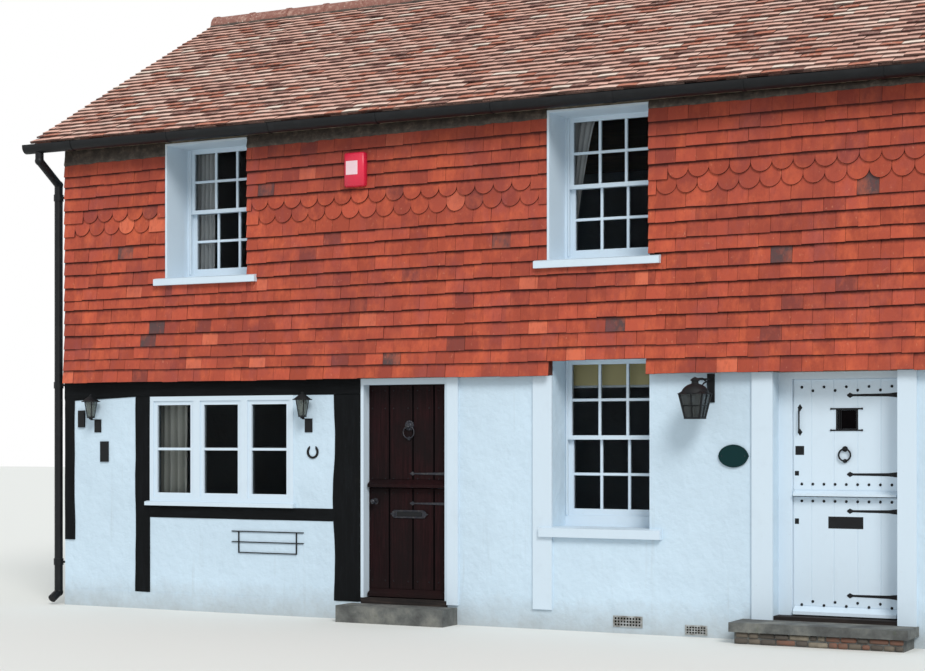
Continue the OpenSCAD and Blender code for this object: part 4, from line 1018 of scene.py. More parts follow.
class COTTAGE_OT_hung_tiles(bpy.types.Operator):
    """Hang the clay tiles on both upper walls."""

    bl_idname = "cottage.hung_tiles"
    bl_label = "Hung Tiles"

    def execute(self, context):
        thick = sizes().hung_thick
        lean = math.atan(thick * HANG_COURSES / (HANG_HIGH - HANG_LOW))
        for name, side, start, end, corner in (
                ("hung_tiles_front", -1, HANG_START, LENGTH, (LEFT, FRONT, 0)),
                ("hung_tiles_rear", 1, 0.0, LENGTH - HANG_START, (RIGHT, REAR, 0))):
            mesh = lay(name, hung_points(window_cuts(side), start, end),
                       0.013, 0.0016, 0.0034, lean, thick, 0.0015, "hung_tile")
            stood(mesh, corner, (-side, 0, 0), (0, 0, 1), (0, side, 0))
            dressed(name, mesh, "house", "hung_tile", "hung_tile", (), 0)
        self.backing("front", FRONT, -1)
        self.backing("rear", REAR, 1)
        return {"FINISHED"}

    def backing(self, name, face, side):
        """Battens' depth of dark backing behind the tiles, open at every window."""
        shape = Shape()
        ground = GROUND_WINDOWS[side]
        columns = sorted({HANG_START, LENGTH} | {
            edge for lefts, width in ((UPPER_WINDOWS, UPPER_WIDTH), (ground, LOWER_WIDTH))
            for left in lefts for edge in (left, left + width)})
        for left, right in zip(columns, columns[1:]):
            middle = (left + right) / 2
            over_window = any(start < middle < start + LOWER_WIDTH for start in ground)
            under_window = any(start < middle < start + UPPER_WIDTH for start in UPPER_WINDOWS)
            low = HANG_LOW + (0.12 if over_window else 0.004)
            high = UPPER_SILL + 0.01 if under_window else HANG_HIGH
            shape.block(at(left, face, low), at(right, face + side * 0.024, high))
        shape.object("hanging_backing_" + name, "house", "tile_bed", "hung_tile",
                     ("tile_hanging_" + name,), 0)


# Roof tiles

def roof_points():
    """Where every tile of one slope lies, in courses that wander a little."""
    chance = random.Random(sizes().seed + 1)
    slope_length = (abs(FRONT) + EAVES_REACH - ROOF_TILE_DEPTH * math.sin(PITCH)) / math.cos(PITCH)
    gauge = slope_length / ROOF_COURSES
    width = sizes().roof_width
    span = LENGTH + 2 * VERGE
    points = []

    def drift(course, middle):
        """How far a course wanders up the slope at one place."""
        if not 0 < course < ROOF_COURSES - 1:
            return 0.0
        return (0.016 * noise.noise(Vector((middle * 0.7, course * 0.45, 3.1)))
                + 0.006 * noise.noise(Vector((middle * 2.6, course * 1.3, 7.7))))

    for course in range(-1, ROOF_COURSES):
        up = max(0.0, gauge * course)
        deep = ROOF_TILE_DEPTH - (sizes().roof_thick + 0.001 if course < 0 else 0.0)
        offset = width * (0.5 * (course % 2)) + chance.uniform(-0.015, 0.015)
        edges = cut_row(0.0, span, width, offset)
        for left, right in zip(edges, edges[1:]):
            middle = (left + right) / 2
            lower = up + drift(course, middle)
            shown = gauge * (course + 1) + drift(course + 1, middle) - lower
            swell = 0.007 * noise.noise(Vector((middle * 0.6, up * 0.8, 8.4)))
            length = min(sizes().tile_length - 0.02, slope_length - up)
            if length > 0.03:
                points.append((middle, lower, deep + swell, right - left - 0.003, length, 0.0,
                               max(shown, 0.02)))
    return points


class COTTAGE_OT_roof_tiles(bpy.types.Operator):
    """Lay the plain tiles on both roof slopes."""

    bl_idname = "cottage.roof_tiles"
    bl_label = "Roof Tiles"

    def execute(self, context):
        points = roof_points()
        sine, cosine = math.sin(PITCH), math.cos(PITCH)
        eaves_z = EAVES_HEIGHT - ROOF_TILE_DEPTH * cosine
        reach = EAVES_REACH - ROOF_TILE_DEPTH * sine
        for name, start, face, side in (
                ("front", LEFT - VERGE, FRONT, -1), ("rear", RIGHT + VERGE, REAR, 1)):
            mesh = lay("roof_tiles_laid_" + name, points, 0.016, 0.0026, 0.006, ROOF_LEAN,
                       sizes().roof_thick, 0.002, "roof_tile")
            stood(mesh, (start, face + side * reach, eaves_z), (-side, 0, 0), (0, -side * cosine, sine),
                  (0, side * sine, cosine))
            dressed("roof_tiles_laid_" + name, mesh, "house", "roof_tile", "roof_tile",
                    ("roof_tiles_" + name,), 0)
        return {"FINISHED"}


class COTTAGE_OT_ridge_bedding(bpy.types.Operator):
    """Bed the ridge tiles in uneven mortar."""

    bl_idname = "cottage.ridge_bedding"
    bl_label = "Ridge Bedding"

    def execute(self, context):
        low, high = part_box("ridge_tiles")
        ridge = high.z - 0.118
        for name, side in (("front", -1), ("rear", 1)):
            shape = Shape()
            rings = []
            for i in range(RIDGE_RINGS):
                x = low.x + 0.01 + (high.x - low.x - 0.02) * i / (RIDGE_RINGS - 1)
                lump = noise.noise(Vector((x * 6, side * 3.0, 1.0)))
                foot = 0.148 + 0.014 * lump
                rings.append([Vector((x, side * out, ridge + rise)) for out, rise in (
                    (0.09, -0.03), (0.1, 0.012 + 0.006 * lump), (foot - 0.012, -0.004 + 0.004 * lump),
                    (foot, -0.028))])
            shape.rings(rings)
            shape.object("ridge_bedding_" + name, "house", "sooty_mortar", "lime_mortar")
        return {"FINISHED"}


class COTTAGE_OT_eaves_pointing(bpy.types.Operator):
    """Point the top of the hung tiles with lumpy mortar."""

    bl_idname = "cottage.eaves_pointing"
    bl_label = "Eaves Pointing"

    def execute(self, context):
        edges = [HANG_START + 0.004]
        for left in UPPER_WINDOWS:
            edges += [left - 0.004, left + UPPER_WIDTH + 0.004]
        edges.append(LENGTH - 0.004)
        for name, side in (("front", -1), ("rear", 1)):
            shape = Shape()
            for start, end in zip(edges[0::2], edges[1::2]):
                shape.rings(self.sections(start, end, side))
            made = shape.object("eaves_pointing_" + name, "house", "sooty_mortar", "lime_mortar", (), 60)
            if side > 0:
                made.data.transform(Matrix.Scale(-1, 4, (0, 1, 0)))
                made.data.flip_normals()
        return {"FINISHED"}

    def sections(self, start, end, side):
        """Cross sections of the mortar, thick and ragged at its lower edge."""
        count = max(8, int((end - start) / 0.028))
        rings = []
        for i in range(count + 1):
            u = start + (end - start) * i / count
            lump = noise.noise(Vector((u * 8, 2.0 + side, 1.0)))
            fine = noise.noise(Vector((u * 31, 5.0, side)))
            low = along_line(MORTAR_EDGE, u) + 0.010 * lump + 0.005 * fine
            out = 0.070 + 0.006 * lump
            rings.append([place(u, depth, z) for depth, z in (
                (-0.030, low + 0.012), (-out + 0.010, low), (-out, low + 0.014 + 0.004 * fine),
                (-out + 0.008 + 0.004 * fine, low + 0.045),
                (-0.050 + 0.004 * lump, 4.150 + 0.006 * fine), (-0.030, 4.168))])
        return rings


# Windows

def sashes(side):
    """The sash windows of one side, as (left, width, jamb, low, high)."""
    return [(left, UPPER_WIDTH, UPPER_JAMB, UPPER_LOW, UPPER_HEAD) for left in UPPER_WINDOWS] + [
        (left, LOWER_WIDTH, LOWER_JAMB, LOWER_LOW, LOWER_HEAD) for left in GROUND_WINDOWS[side]]


def sash_bars(shape, u0, width, jamb, low, high, side):
    """Glazing bars of one sash window, three panes across and four up."""
    left, right = u0 + jamb + STILE, u0 + width - jamb - STILE
    middle = (low + high) / 2
    half = sizes().bar_width / 2
    for depth, bottom, top in (
            (SASH_DEPTH, middle + MEETING_RAIL / 2, high - TOP_RAIL),
            (SASH_DEPTH + SASH_THICK, low + BOTTOM_RAIL, middle - MEETING_RAIL / 2)):
        d0, d1, z = depth + 0.005, depth + SASH_THICK - 0.006, (bottom + top) / 2
        for share in (1 / 3, 2 / 3):
            u = left + (right - left) * share
            bar_block(shape, (u - half, d0, bottom - 0.002), (u + half, d1, top + 0.002), side)
        bar_block(shape, (left - 0.002, d0 + 0.0005, z - half), (right + 0.002, d1 - 0.0005, z + half), side)


def bar_block(shape, low, high, side=-1):
    """A bar on the street side, or its copy on the rear side."""
    shape.block(placed(*low, side), placed(*high, side), 0.003)


class COTTAGE_OT_glazing_bars(bpy.types.Operator):
    """Fit glazing bars in the sashes and the casement lights, and beads round the sashes."""

    bl_idname = "cottage.glazing_bars"
    bl_label = "Glazing Bars"

    def execute(self, context):
        bars, beads = Shape(), Shape()
        for side in (-1, 1):
            for left, width, jamb, low, high in sashes(side):
                sash_bars(bars, left, width, jamb, low, high - FRAME_HEAD, side)
                for u in (left + jamb - 0.004, left + width - jamb - 0.008):
                    bar_block(beads, (u, SASH_DEPTH - 0.020, low),
                              (u + 0.012, SASH_DEPTH - 0.006, high - 0.016), side)
        light = (CASEMENT_WIDTH - 2 * CASEMENT_JAMB - 2 * MULLION) / 3
        for i in range(3):
            left = CASEMENT_LEFT + CASEMENT_JAMB + i * (light + MULLION) + LIGHT_STILE
            right = left + light - 2 * LIGHT_STILE
            bar_block(bars, (left - 0.002, LIGHT_DEPTH + 0.004, CASEMENT_BAR - 0.012),
                      (right + 0.002, LIGHT_DEPTH + LIGHT_THICK - 0.006, CASEMENT_BAR + 0.012))
        bars.object("glazing_bars", "house", "white_paint", "white_joinery")
        beads.object("window_beads", "house", "white_paint", "white_joinery")
        return {"FINISHED"}


def pleated(name, rod, u0, u1, depth, low, high, folds, swing, finish, side=-1, gathered=1.0):
    """A hanging curtain: pleats that open a little towards the hem."""
    steps, rows = folds * 12, 16
    mesh = bpy.data.meshes.new(name)
    points, faces, fold_shade = [], [], []
    for row in range(rows + 1):
        share = row / rows
        z = high + (low - high) * share
        drawn = (1 - gathered) * min(1.0, share * 1.3) ** 0.8
        previous = None
        for i in range(steps + 1):
            along = i / steps
            wave = math.sin(2 * math.pi * folds * along + 0.6 * math.sin(5 * along))
            u = u0 + (u1 - u0) * along * (1 - drawn)
            point = placed(u, depth + swing * (0.55 + 0.45 * share) * wave, z, side)
            points.append(tuple(point))
            # How deep each point lies in a fold, which the cloth finish paints as shade.
            fold_shade.append((1 + wave) / 2)
            row == rows // 2 and previous is not None
            previous = point
    for row in range(rows):
        for i in range(steps):
            a = row * (steps + 1) + i
            faces.append((a, a + 1, a + steps + 2, a + steps + 1))
    mesh.from_pydata(points, [], faces)
    number_layer(mesh, "fold", fold_shade)
    made = dressed(name, mesh, "house", finish, "white_joinery", (), 180)
    high - low
    return made


def curtain_rod(shape, u0, u1, depth, back, z, side=-1):
    """A thin rod with an arm at each end back to the frame or wall."""
    points = [placed(u, out, z, side) for u, out in ((u0, back), (u0, depth), (u1, depth), (u1, back))]
    for a, b in zip(points, points[1:]):
        shape.rod([a, (a + b) / 2, b], 0.006, 8)


class COTTAGE_OT_curtains(bpy.types.Operator):
    """Hang curtains and one blind behind the glass."""

    bl_idname = "cottage.curtains"
    bl_label = "Curtains"

    def execute(self, context):
        depth = WALL_THICK + 0.042
        upper = (depth, UPPER_LOW + 0.02, UPPER_HEAD - 0.02)
        lower = (depth, LOWER_LOW + 0.01, LOWER_HEAD - 0.03)
        rods, rail = Shape(), Shape()
        for side in (-1, 1):
            for left in UPPER_WINDOWS:
                curtain_rod(rods, left - 0.06, left + UPPER_WIDTH + 0.06, depth, WALL_THICK, upper[-1], side)
        for left in GROUND_WINDOWS[1]:
            curtain_rod(rods, left + 0.005, left + LOWER_WIDTH - 0.005, depth, WALL_THICK, lower[-1], 1)
        rods.object("curtain_rods", "house", "dark_brass", "dull_brass")
        curtain_rod(rail, CASEMENT_LEFT + 0.04, CASEMENT_LEFT + CASEMENT_WIDTH - 0.04, ROD_DEPTH, 0.085,
                    ROD_HIGH)
        rail.object("casement_rod", "house", "dark_brass", "dull_brass")
        first, second = UPPER_WINDOWS
        hung = [
            ("curtain_first_left", "curtain_rods", first - 0.02, first + 0.235, *upper, 6, 0.030,
             "cream_cloth"),
            ("curtain_second_left", "curtain_rods", second - 0.02, second + 0.235, *upper, 5, 0.028,
             "cream_cloth", -1, 0.35),
            ("curtain_first_right", "curtain_rods", first + 0.76, first + 0.88, *upper, 3, 0.022,
             "grey_cloth"),
            ("curtain_casement", "casement_rod", CASEMENT_LEFT + 0.016, CASEMENT_LEFT + 0.31, ROD_DEPTH, 0.96,
             ROD_HIGH, 4, 0.026, "grey_cloth")]
        for name, lefts, width, span in (
                ("curtain_rear_upper_%d", UPPER_WINDOWS, UPPER_WIDTH, upper),
                ("curtain_rear_lower_%d", GROUND_WINDOWS[1], LOWER_WIDTH, lower)):
            hung += [(name % i, "curtain_rods", left + 0.03, left + width - 0.03, *span, 13, 0.030,
                      "grey_cloth", 1) for i, left in enumerate(lefts, 1)]
        for row in hung:
            pleated(*row)
        self.blind()
        return {"FINISHED"}

    def blind(self):
        """A roller blind pulled a short way down."""
        name, steps = "roller_blind", 12
        low, high = 1.955, LOWER_HEAD - 0.045
        depth = WALL_THICK + 0.016
        left, right = LOWER_WINDOW + 0.03, LOWER_WINDOW + LOWER_WIDTH - 0.03
        roller, batten = Shape(), Shape()
        roller.turned([(0.013, 0.0), (0.013, right - left + 0.02)], place(left - 0.01, depth, high),
                      (1, 0, 0), 16)
        roller.object("blind_roller", "house", "white_paint", "white_joinery")
        points = []
        for i in range(steps + 1):
            bow = 0.002 * math.sin(math.pi * i / steps)
            points += [tuple(place(u, depth - 0.013 + bow, high + (low - high) * i / steps))
                       for u in (left, right)]
        faces = [(2 * i, 2 * i + 1, 2 * i + 3, 2 * i + 2) for i in range(steps)]
        mesh = bpy.data.meshes.new(name)
        mesh.from_pydata(points, [], faces)
        made = dressed(name, mesh, "house", "blind_cloth", "white_joinery", (), 180)
        batten.block(place(left, depth - 0.020, low - 0.018), place(right, depth - 0.006, low + 0.002), 0.003)
        weight = batten.object("blind_batten", "house", "white_paint", "white_joinery")


# Doors

# The faces that the boards stand on, the boards' edges along the front, and how far boards stand out
WEATHER_RAIL = 0.060
WHITE_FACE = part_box("white_door_upper")[0].y + WEATHER_RAIL
DARK_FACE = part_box("dark_door_upper")[0].y + WEATHER_RAIL
WHITE_EDGES = (6.871, 7.012, 7.185, 7.367, 7.543, 7.683)
DARK_EDGES = (3.186, 3.379, 3.605, 3.805, 3.955)
BOARD_PROUD = 0.003
DARK_STUD = 0.006


def spans(door, upper_foot):
    """Each leaf of a door, and the heights between which it is boarded."""
    lower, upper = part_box(door + "_door_lower"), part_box(door + "_door_upper")
    return (("lower", lower[0].z + 0.064, lower[1].z - 0.002),
            ("upper", upper[0].z + upper_foot, upper[1].z - 0.012))


def strips(name, door, leaf, pairs, low, high, face, proud, chamfer, finish, smooth):
    """Upright strips on the outside of one leaf; pairs are their left and right edges."""
    shape = Shape()
    for left, right in pairs:
        shape.block(at(left, face - proud, low), at(right, face + 0.002, high), chamfer)
    shape.object(name + leaf, "%s_%s_leaf" % (door, leaf), finish, door + "_joinery", (), smooth)


def door_boards(door, edges, upper_foot, face, finish, gap):
    """Upright boards on both leaves, with a gap at each side of every board."""
    pairs = [(left + gap, right - gap) for left, right in zip(edges, edges[1:])]
    for leaf, low, high in spans(door, upper_foot):
        strips(door + "_boards_", door, leaf, pairs, low, high, face, BOARD_PROUD, 0.0022, finish, 30)


def dome(shape, u, z, y, radius, height):
    """A low dome facing the street, with its foot at y."""
    shape.turned([(radius * share, height * rise) for share, rise in (
        (1, 0), (0.94, 0.36), (0.72, 0.7), (0.4, 0.92), (0.02, 1))], at(u, y, z), (0, -1, 0), 14)


def studs(name, body, points, radius, flatness=0.7, finish="black_iron", slot="black_iron"):
    """Domed heads of studs, bolts or screws, one on each point."""
    made = follow(stud_rule(), name, point_mesh(name + "_points", points), {
        "Radius": radius, "Flatness": flatness, "Finish": FINISHES[finish]})
    dressed(name, made, body, finish, slot, (), 60)


def stud_row(z, step=0.0):
    """Nine studs across the white door, every second one moved by step."""
    left, right = 6.937, 7.624
    return [at(left + (right - left) * i / 8, WHITE_FACE - BOARD_PROUD, z - step * (i % 2)) for i in range(9)]


class COTTAGE_OT_white_door(bpy.types.Operator):
    """Board, stud and strap the white door."""

    bl_idname = "cottage.white_door"
    bl_label = "White Door"

    def execute(self, context):
        door_boards("white", WHITE_EDGES, 0.044, WHITE_FACE, "white_boards", 0.0012)
        studs("white_studs_upper", "white_upper_leaf", stud_row(1.916, 0.027) + stud_row(1.184),
              sizes().stud_radius)
        studs("white_studs_lower", "white_lower_leaf", stud_row(1.056) + stud_row(0.271, -0.027),
              sizes().stud_radius)
        self.hatch()
        for body, heights in (("white_upper_leaf", (1.852, 1.260)), ("white_lower_leaf", (0.985, 0.352))):
            studs("strap_bolts_" + body, body, [
                at(7.641 - 0.105 * i, WHITE_FACE - 0.0055, z) for z in heights for i in range(3)],
                0.0055, 0.55)
        self.ring()
        return {"FINISHED"}

    def hatch(self):
        """Bars of the small grilled hatch, and a dark sheet of painted shadow in its opening."""
        u, z = 7.286, 1.671
        face = WHITE_FACE - 0.0035
        dark, bars = Shape(), Shape()
        # A near-black sheet of painted shadow in the hatch's opening.
        dark.block(at(u - 0.069, face - 0.0012, z - 0.071), at(u + 0.069, face + 0.003, z + 0.071))
        dark.object("hatch_opening", "white_upper_leaf", "shadow_gap", "black_iron", (), 0)
        for across in (-0.058, -0.044):
            bars.rod([at(u + across, face - out, z + rise) for out, rise in (
                (0.005, -0.08), (0.0052, 0), (0.005, 0.08))], 0.0035, 8)
        for rise in (-0.08, 0.08):
            ends = [at(u + across, face - out, z + rise) for across, out in (
                (-0.122, 0.004), (0, 0.0042), (0.116, 0.004))]
            bars.rod(ends, 0.0045, 8)
            for end in (ends[0], ends[-1]):
                bars.turned([(0.0, -0.006), (0.006, -0.005), (0.0085, 0.0), (0.006, 0.005), (0.0, 0.006)],
                            end, (1, 0, 0), 10)
        bars.object("hatch_bars", "white_upper_leaf", "black_iron", "black_iron")

    def ring(self):
        """The ring of the knocker."""
        low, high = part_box("white_door_knocker")
        ring, radius, bar = Shape(), 0.045, 0.0065
        ring.loop([((low.x + high.x) / 2 + radius * sine, low.y + bar, 1.405 + radius * cosine)
                   for cosine, sine in circle(36)], bar, 10)
        ring.object("white_knocker_ring", "white_upper_leaf", "black_iron", "black_iron")


class COTTAGE_OT_dark_door(bpy.types.Operator):
    """Board, strap and stud the dark door."""

    bl_idname = "cottage.dark_door"
    bl_label = "Dark Door"

    def execute(self, context):
        door_boards("dark", DARK_EDGES, 0.064, DARK_FACE, "stained_boards", 0.008)
        # Near-black strips of painted shadow in the joints between the boards.
        joints = [(u - 0.0079, u + 0.0079) for u in DARK_EDGES[1:-1]]
        for leaf, low, high in spans("dark", 0.064):
            strips("dark_joints_", "dark", leaf, joints, low, high, DARK_FACE, 0.0008, 0.0, "shadow_gap", 0)
        self.strap("upper", 1.234)
        self.strap("lower", 0.985)
        self.head()
        self.letter_plate()
        for leaf, heights in (("upper", (1.93, 1.78, 1.19)), ("lower", (1.07, 0.33))):
            studs("dark_studs_" + leaf, "dark_%s_leaf" % leaf, [
                at(u, DARK_FACE - BOARD_PROUD, z) for z in heights
                for u in (3.215, 3.34, 3.42, 3.56, 3.65, 3.76, 3.85, 3.925)], DARK_STUD)
        return {"FINISHED"}

    def strap(self, leaf, z):
        """A tapered strap with a leaf at its end."""
        shape = Shape()
        right, left = DARK_EDGES[-1] - 0.004, 3.575
        shape.plate([(LEFT + u, z + rise) for u, rise in (
            (right, -0.012), (right, 0.012), (left + 0.045, 0.0055), (left + 0.030, 0.017), (left, 0.0),
            (left + 0.030, -0.017), (left + 0.045, -0.0055))], DARK_FACE - 0.0075, DARK_FACE - 0.002)
        shape.object("dark_strap_" + leaf, "dark_%s_leaf" % leaf, "dark_brass", "dull_brass", (), 30)

    def head(self):
        """The worn cast head that holds the knocker's ring."""
        shape = Shape()
        u, z = 3.573, 1.636
        for cosine, sine in circle(12):
            dome(shape, u + 0.032 * sine, z + 0.033 * cosine, DARK_FACE - 0.002, 0.013, 0.014)
        for across, rise, out, radius, height in (
                (0, 0, 0.002, 0.032, 0.026), (0, -0.012, 0.018, 0.013, 0.018),
                (-0.012, 0.010, 0.020, 0.006, 0.008), (0.012, 0.010, 0.020, 0.006, 0.008)):
            dome(shape, u + across, z + rise, DARK_FACE - out, radius, height)
        shape.object("dark_knocker_head", "dark_upper_leaf", "dark_brass", "dull_brass", (), 50)

    def letter_plate(self):
        """The raised rim of the letter plate, its pointed ends and its flap."""
        rim, flap = Shape(), Shape()
        u, z, half_w, half_h = 3.571, 0.894, 0.150, 0.034
        y0, y1 = DARK_FACE - 0.013, DARK_FACE - 0.002
        for left, low, right, high in (
                (-half_w, -half_h, half_w, -half_h + 0.009), (-half_w, half_h - 0.009, half_w, half_h),
                (-half_w, -half_h, -half_w + 0.012, half_h), (half_w - 0.012, -half_h, half_w, half_h)):
            rim.block(at(u + left, y0, z + low), at(u + right, y1, z + high), 0.002)
        for side in (-1, 1):
            rim.plate([(LEFT + u + side * (half_w + x), z + rise) for x, rise in (
                (-0.004, -0.026), (0.010, -0.020), (0.014, -0.008), (0.032, 0.0), (0.014, 0.008),
                (0.010, 0.020), (-0.004, 0.026))], y0 + 0.002, y1)
        rim.object("letter_plate_rim", "dark_lower_leaf", "dark_brass", "dull_brass", (), 30)
        flap.block(at(u - 0.118, DARK_FACE - 0.0105, z - 0.017), at(u + 0.118, y1, z + 0.017), 0.0015)
        flap.object("letter_flap", "dark_lower_leaf", "black_iron", "dull_brass", (), 30)


# Small fittings

class COTTAGE_OT_fittings(bpy.types.Operator):
    """Finish the plaque, the alarm box, the vents and the lanterns."""

    bl_idname = "cottage.fittings"
    bl_label = "Small Fittings"

    def execute(self, context):
        self.plaque()
        self.alarm()
        self.vents()
        self.lanterns()
        return {"FINISHED"}

    def plaque(self):
        """A raised rim and two screws on the bare oval."""
        low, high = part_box("oval_plaque")
        centre = (low + high) / 2
        half_w, half_h = (high.x - low.x) / 2 - 0.006, (high.z - low.z) / 2 - 0.005
        rim = Shape()
        proud = Vector((0, -0.004, 0))
        rings = []
        for cosine, sine in circle(64):
            out = Vector((cosine, 0, sine))
            point = Vector((centre.x + half_w * out.x, low.y, centre.z + half_h * out.z))
            rings.append([point + out * 0.004, point + proud + out * 0.002, point + proud - out * 0.002,
                          point - out * 0.004])
        rim.rings(rings, True)
        rim.object("plaque_rim", "house", "green_enamel", "green_enamel")
        studs("plaque_screws", "house", [
            (centre.x + side * (half_w - 0.022), low.y - 0.0005, centre.z) for side in (-1, 1)],
            0.005, 0.5, "dark_brass", "dull_brass")

    def alarm(self):
        """A rounded cover with a paler bare panel."""
        low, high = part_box("alarm_box")
        cover, panel = Shape(), Shape()
        cover.block(low, high, 0.012)
        cover.object("alarm_cover", "house", "red_plastic", "red_plastic", ("alarm_box",), 50)
        panel.block((low.x + 0.022, low.y - 0.003, low.z + 0.1),
                    (high.x - 0.06, low.y + 0.002, high.z - 0.07), 0.002)
        panel.object("alarm_panel", "house", "pale_plastic", "red_plastic", (), 30)

    def vents(self):
        """Rows of dark blocks on the two air bricks, painted shadow for their small openings."""
        rows = 3
        for name, (u0, u1, z0, z1), columns in (
                ("left", (5.460, 5.706, 0.049, 0.138), 9), ("right", (6.060, 6.240, 0.016, 0.092), 7)):
            grid = Shape()
            step_u, step_z = (u1 - u0 - 0.02) / columns, (z1 - z0 - 0.016) / rows
            for i in range(columns):
                for j in range(rows):
                    u, z = u0 + 0.01 + step_u * (i + 0.5), z0 + 0.008 + step_z * (j + 0.5)
                    # Each block is painted shadow where a hole of the air brick would be.
                    grid.block(place(u - step_u * 0.3, -0.0095, z - step_z * 0.3),
                               place(u + step_u * 0.3, -0.005, z + step_z * 0.3))
            grid.object("vent_openings_" + name, "house", "shadow_gap", "clay_vent", (), 0)

    def lanterns(self):
        """Scrolled bracket over the big lantern, its crown, and eyes on the coach lanterns."""
        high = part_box("bracket_lantern")[1]
        x, y, wall = LEFT + 6.225, FRONT - 0.230, LEFT + 6.270
        scroll, crown, eyes = Shape(), Shape(), Shape()
        curl = []
        for i in range(30):
            angle = math.pi * (0.5 + 1.7 * i / 29)
            radius = 0.052 * (1 - 0.55 * i / 29)
            curl.append((wall - 0.045 * (1 - math.cos(angle)) * 0.3,
                         FRONT - 0.085 + radius * math.cos(angle), 1.905 + radius * math.sin(angle)))
        scroll.rod(curl, 0.006, 8)
        scroll.rod([(wall, FRONT - 0.010, 1.83), (wall, FRONT - 0.045, 1.86), (wall, FRONT - 0.085, 1.957),
                    (wall - 0.02, FRONT - 0.14, 1.985), (x, FRONT - 0.20, 1.981)], 0.007, 8)
        scroll.object("lantern_scroll", "house", "black_iron", "black_iron")
        crown.turned([(0.034, 0.0), (0.036, 0.008), (0.030, 0.014), (0.012, 0.026), (0.004, 0.030)],
                     (x, y, high.z - 0.060), (0, 0, 1), 20)
        crown.turned([(0.103, -0.002), (0.106, 0.004), (0.103, 0.018), (0.094, 0.036), (0.078, 0.054),
                      (0.056, 0.068), (0.034, 0.076), (0.027, 0.080)], (x, y, 1.866), (0, 0, 1), 32)
        crown.object("lantern_crown", "house", "black_iron", "black_iron")
        for u, z in ((0.380, 1.859), (2.639, 1.857)):
            eyes.turned([(0.0835, -0.002), (0.0845, 0.002), (0.0835, 0.006)], place(u, -0.099, z),
                        (0, 0, 1), 28)
            eyes.turned([(0.008, 0.0), (0.012, 0.006), (0.012, 0.012), (0.005, 0.018)],
                        place(u, -0.099, z + 0.050), (0, 0, 1), 16)
        eyes.object("coach_lantern_rims", "house", "black_iron", "black_iron")


# Rough timber and rubble

# How far the trunk's left edge waves at even steps from its foot to its head, in millimetres
POST_WAVES = (0, 6, 10, 4, -8, -14, -6, 8, 12, 4, 0)


def hewn(shape, upright, span, box, edges, seed):
    """A hewn beam: box is (low, high) across it, edges are functions of the place along it."""
    rows = max(20, int((span[1] - span[0]) / 0.028))
    rings = []
    for row in range(rows + 1):
        along = span[0] + (span[1] - span[0]) * row / rows
        low, high = edges[0](along), edges[1](along)
        ring = []
        for i in range(12):
            across = low + (high - low) * i / 11
            bulge = 0.005 * noise.noise(Vector((across * 9, along * 2.4, seed)))
            bulge += 0.003 * noise.noise(Vector((across * 30, along * 7, seed + 3)))
            rounded = 0.005 if i in (0, 11) else 0.0
            ring.append((across, -0.0045 - bulge + rounded))
        ring += [(high, 0.004), (box[1] - 0.001, 0.005), (box[1] - 0.001, 0.199),
                 (box[0] + 0.001, 0.199), (box[0] + 0.001, 0.005), (low, 0.004)]
        rings.append([
            place(across, depth, along) if upright else place(along, depth, across)
            for across, depth in ring])
    shape.rings(rings)


def wander(seed, size, speed, base):
    """An edge that wanders round a base line."""
    return lambda along: base + size * noise.noise(Vector((along * speed, seed, 0.7)))


class COTTAGE_OT_rough_timber(bpy.types.Operator):
    """Hew the posts, the rail and the bressumer, and shape the crooked trunk."""

    bl_idname = "cottage.rough_timber"
    bl_label = "Rough Timber"

    def execute(self, context):
        for name, finish, upright, replaced, beams in (
                ("frame_posts_hewn", "upright_timber", True, "frame_posts", (
                    ((0.601, 1.899), (0.0, 0.110), (lambda z: 0.001, wander(1.5, 0.016, 2.6, 0.110)), 1.0),
                    ((0.151, 1.899), (0.804, 0.964),
                     (wander(4.5, 0.014, 2.2, 0.804), wander(6.5, 0.003, 3.0, 0.965)), 2.0))),
                ("door_post_trunk", "upright_timber", True, "door_post", (
                    ((0.151, 1.899), (2.906, 3.156), (self.trunk_edge, lambda z: 3.155), 3.0),)),
                ("bressumer_hewn", "level_timber", False, "bressumer_beam", (
                    ((0.001, 3.155), (1.900, 2.180), (self.beam_foot, lambda u: 2.179), 4.0),)),
                ("sill_rail_hewn", "level_timber", False, "sill_rail", (
                    ((0.965, 2.905), (0.822, 0.930),
                     (wander(9.5, 0.010, 1.7, 0.822), wander(11.5, 0.002, 2.0, 0.930)), 5.0),))):
            shape = Shape()
            for beam in beams:
                hewn(shape, upright, *beam)
            shape.object(name, "house", finish, "black_timber", (replaced,), 50)
        return {"FINISHED"}

    @staticmethod
    def trunk_edge(z):
        """The trunk's left edge waves from its foot to its head."""
        at = min(max((z - 0.150) / 1.750, 0.0), 0.9999) * (len(POST_WAVES) - 1)
        k = int(at)
        return 2.892 + (POST_WAVES[k] + (POST_WAVES[k + 1] - POST_WAVES[k]) * (at - k)) / 1000

    @staticmethod
    def beam_foot(u):
        """The beam's foot slants up from the corner post to the stud."""
        foot = along_line(((0.0, 1.868), (0.79, 1.900), (3.2, 1.902)), u)
        return foot + 0.004 * noise.noise(Vector((u * 3.0, 2.0, 9.0)))


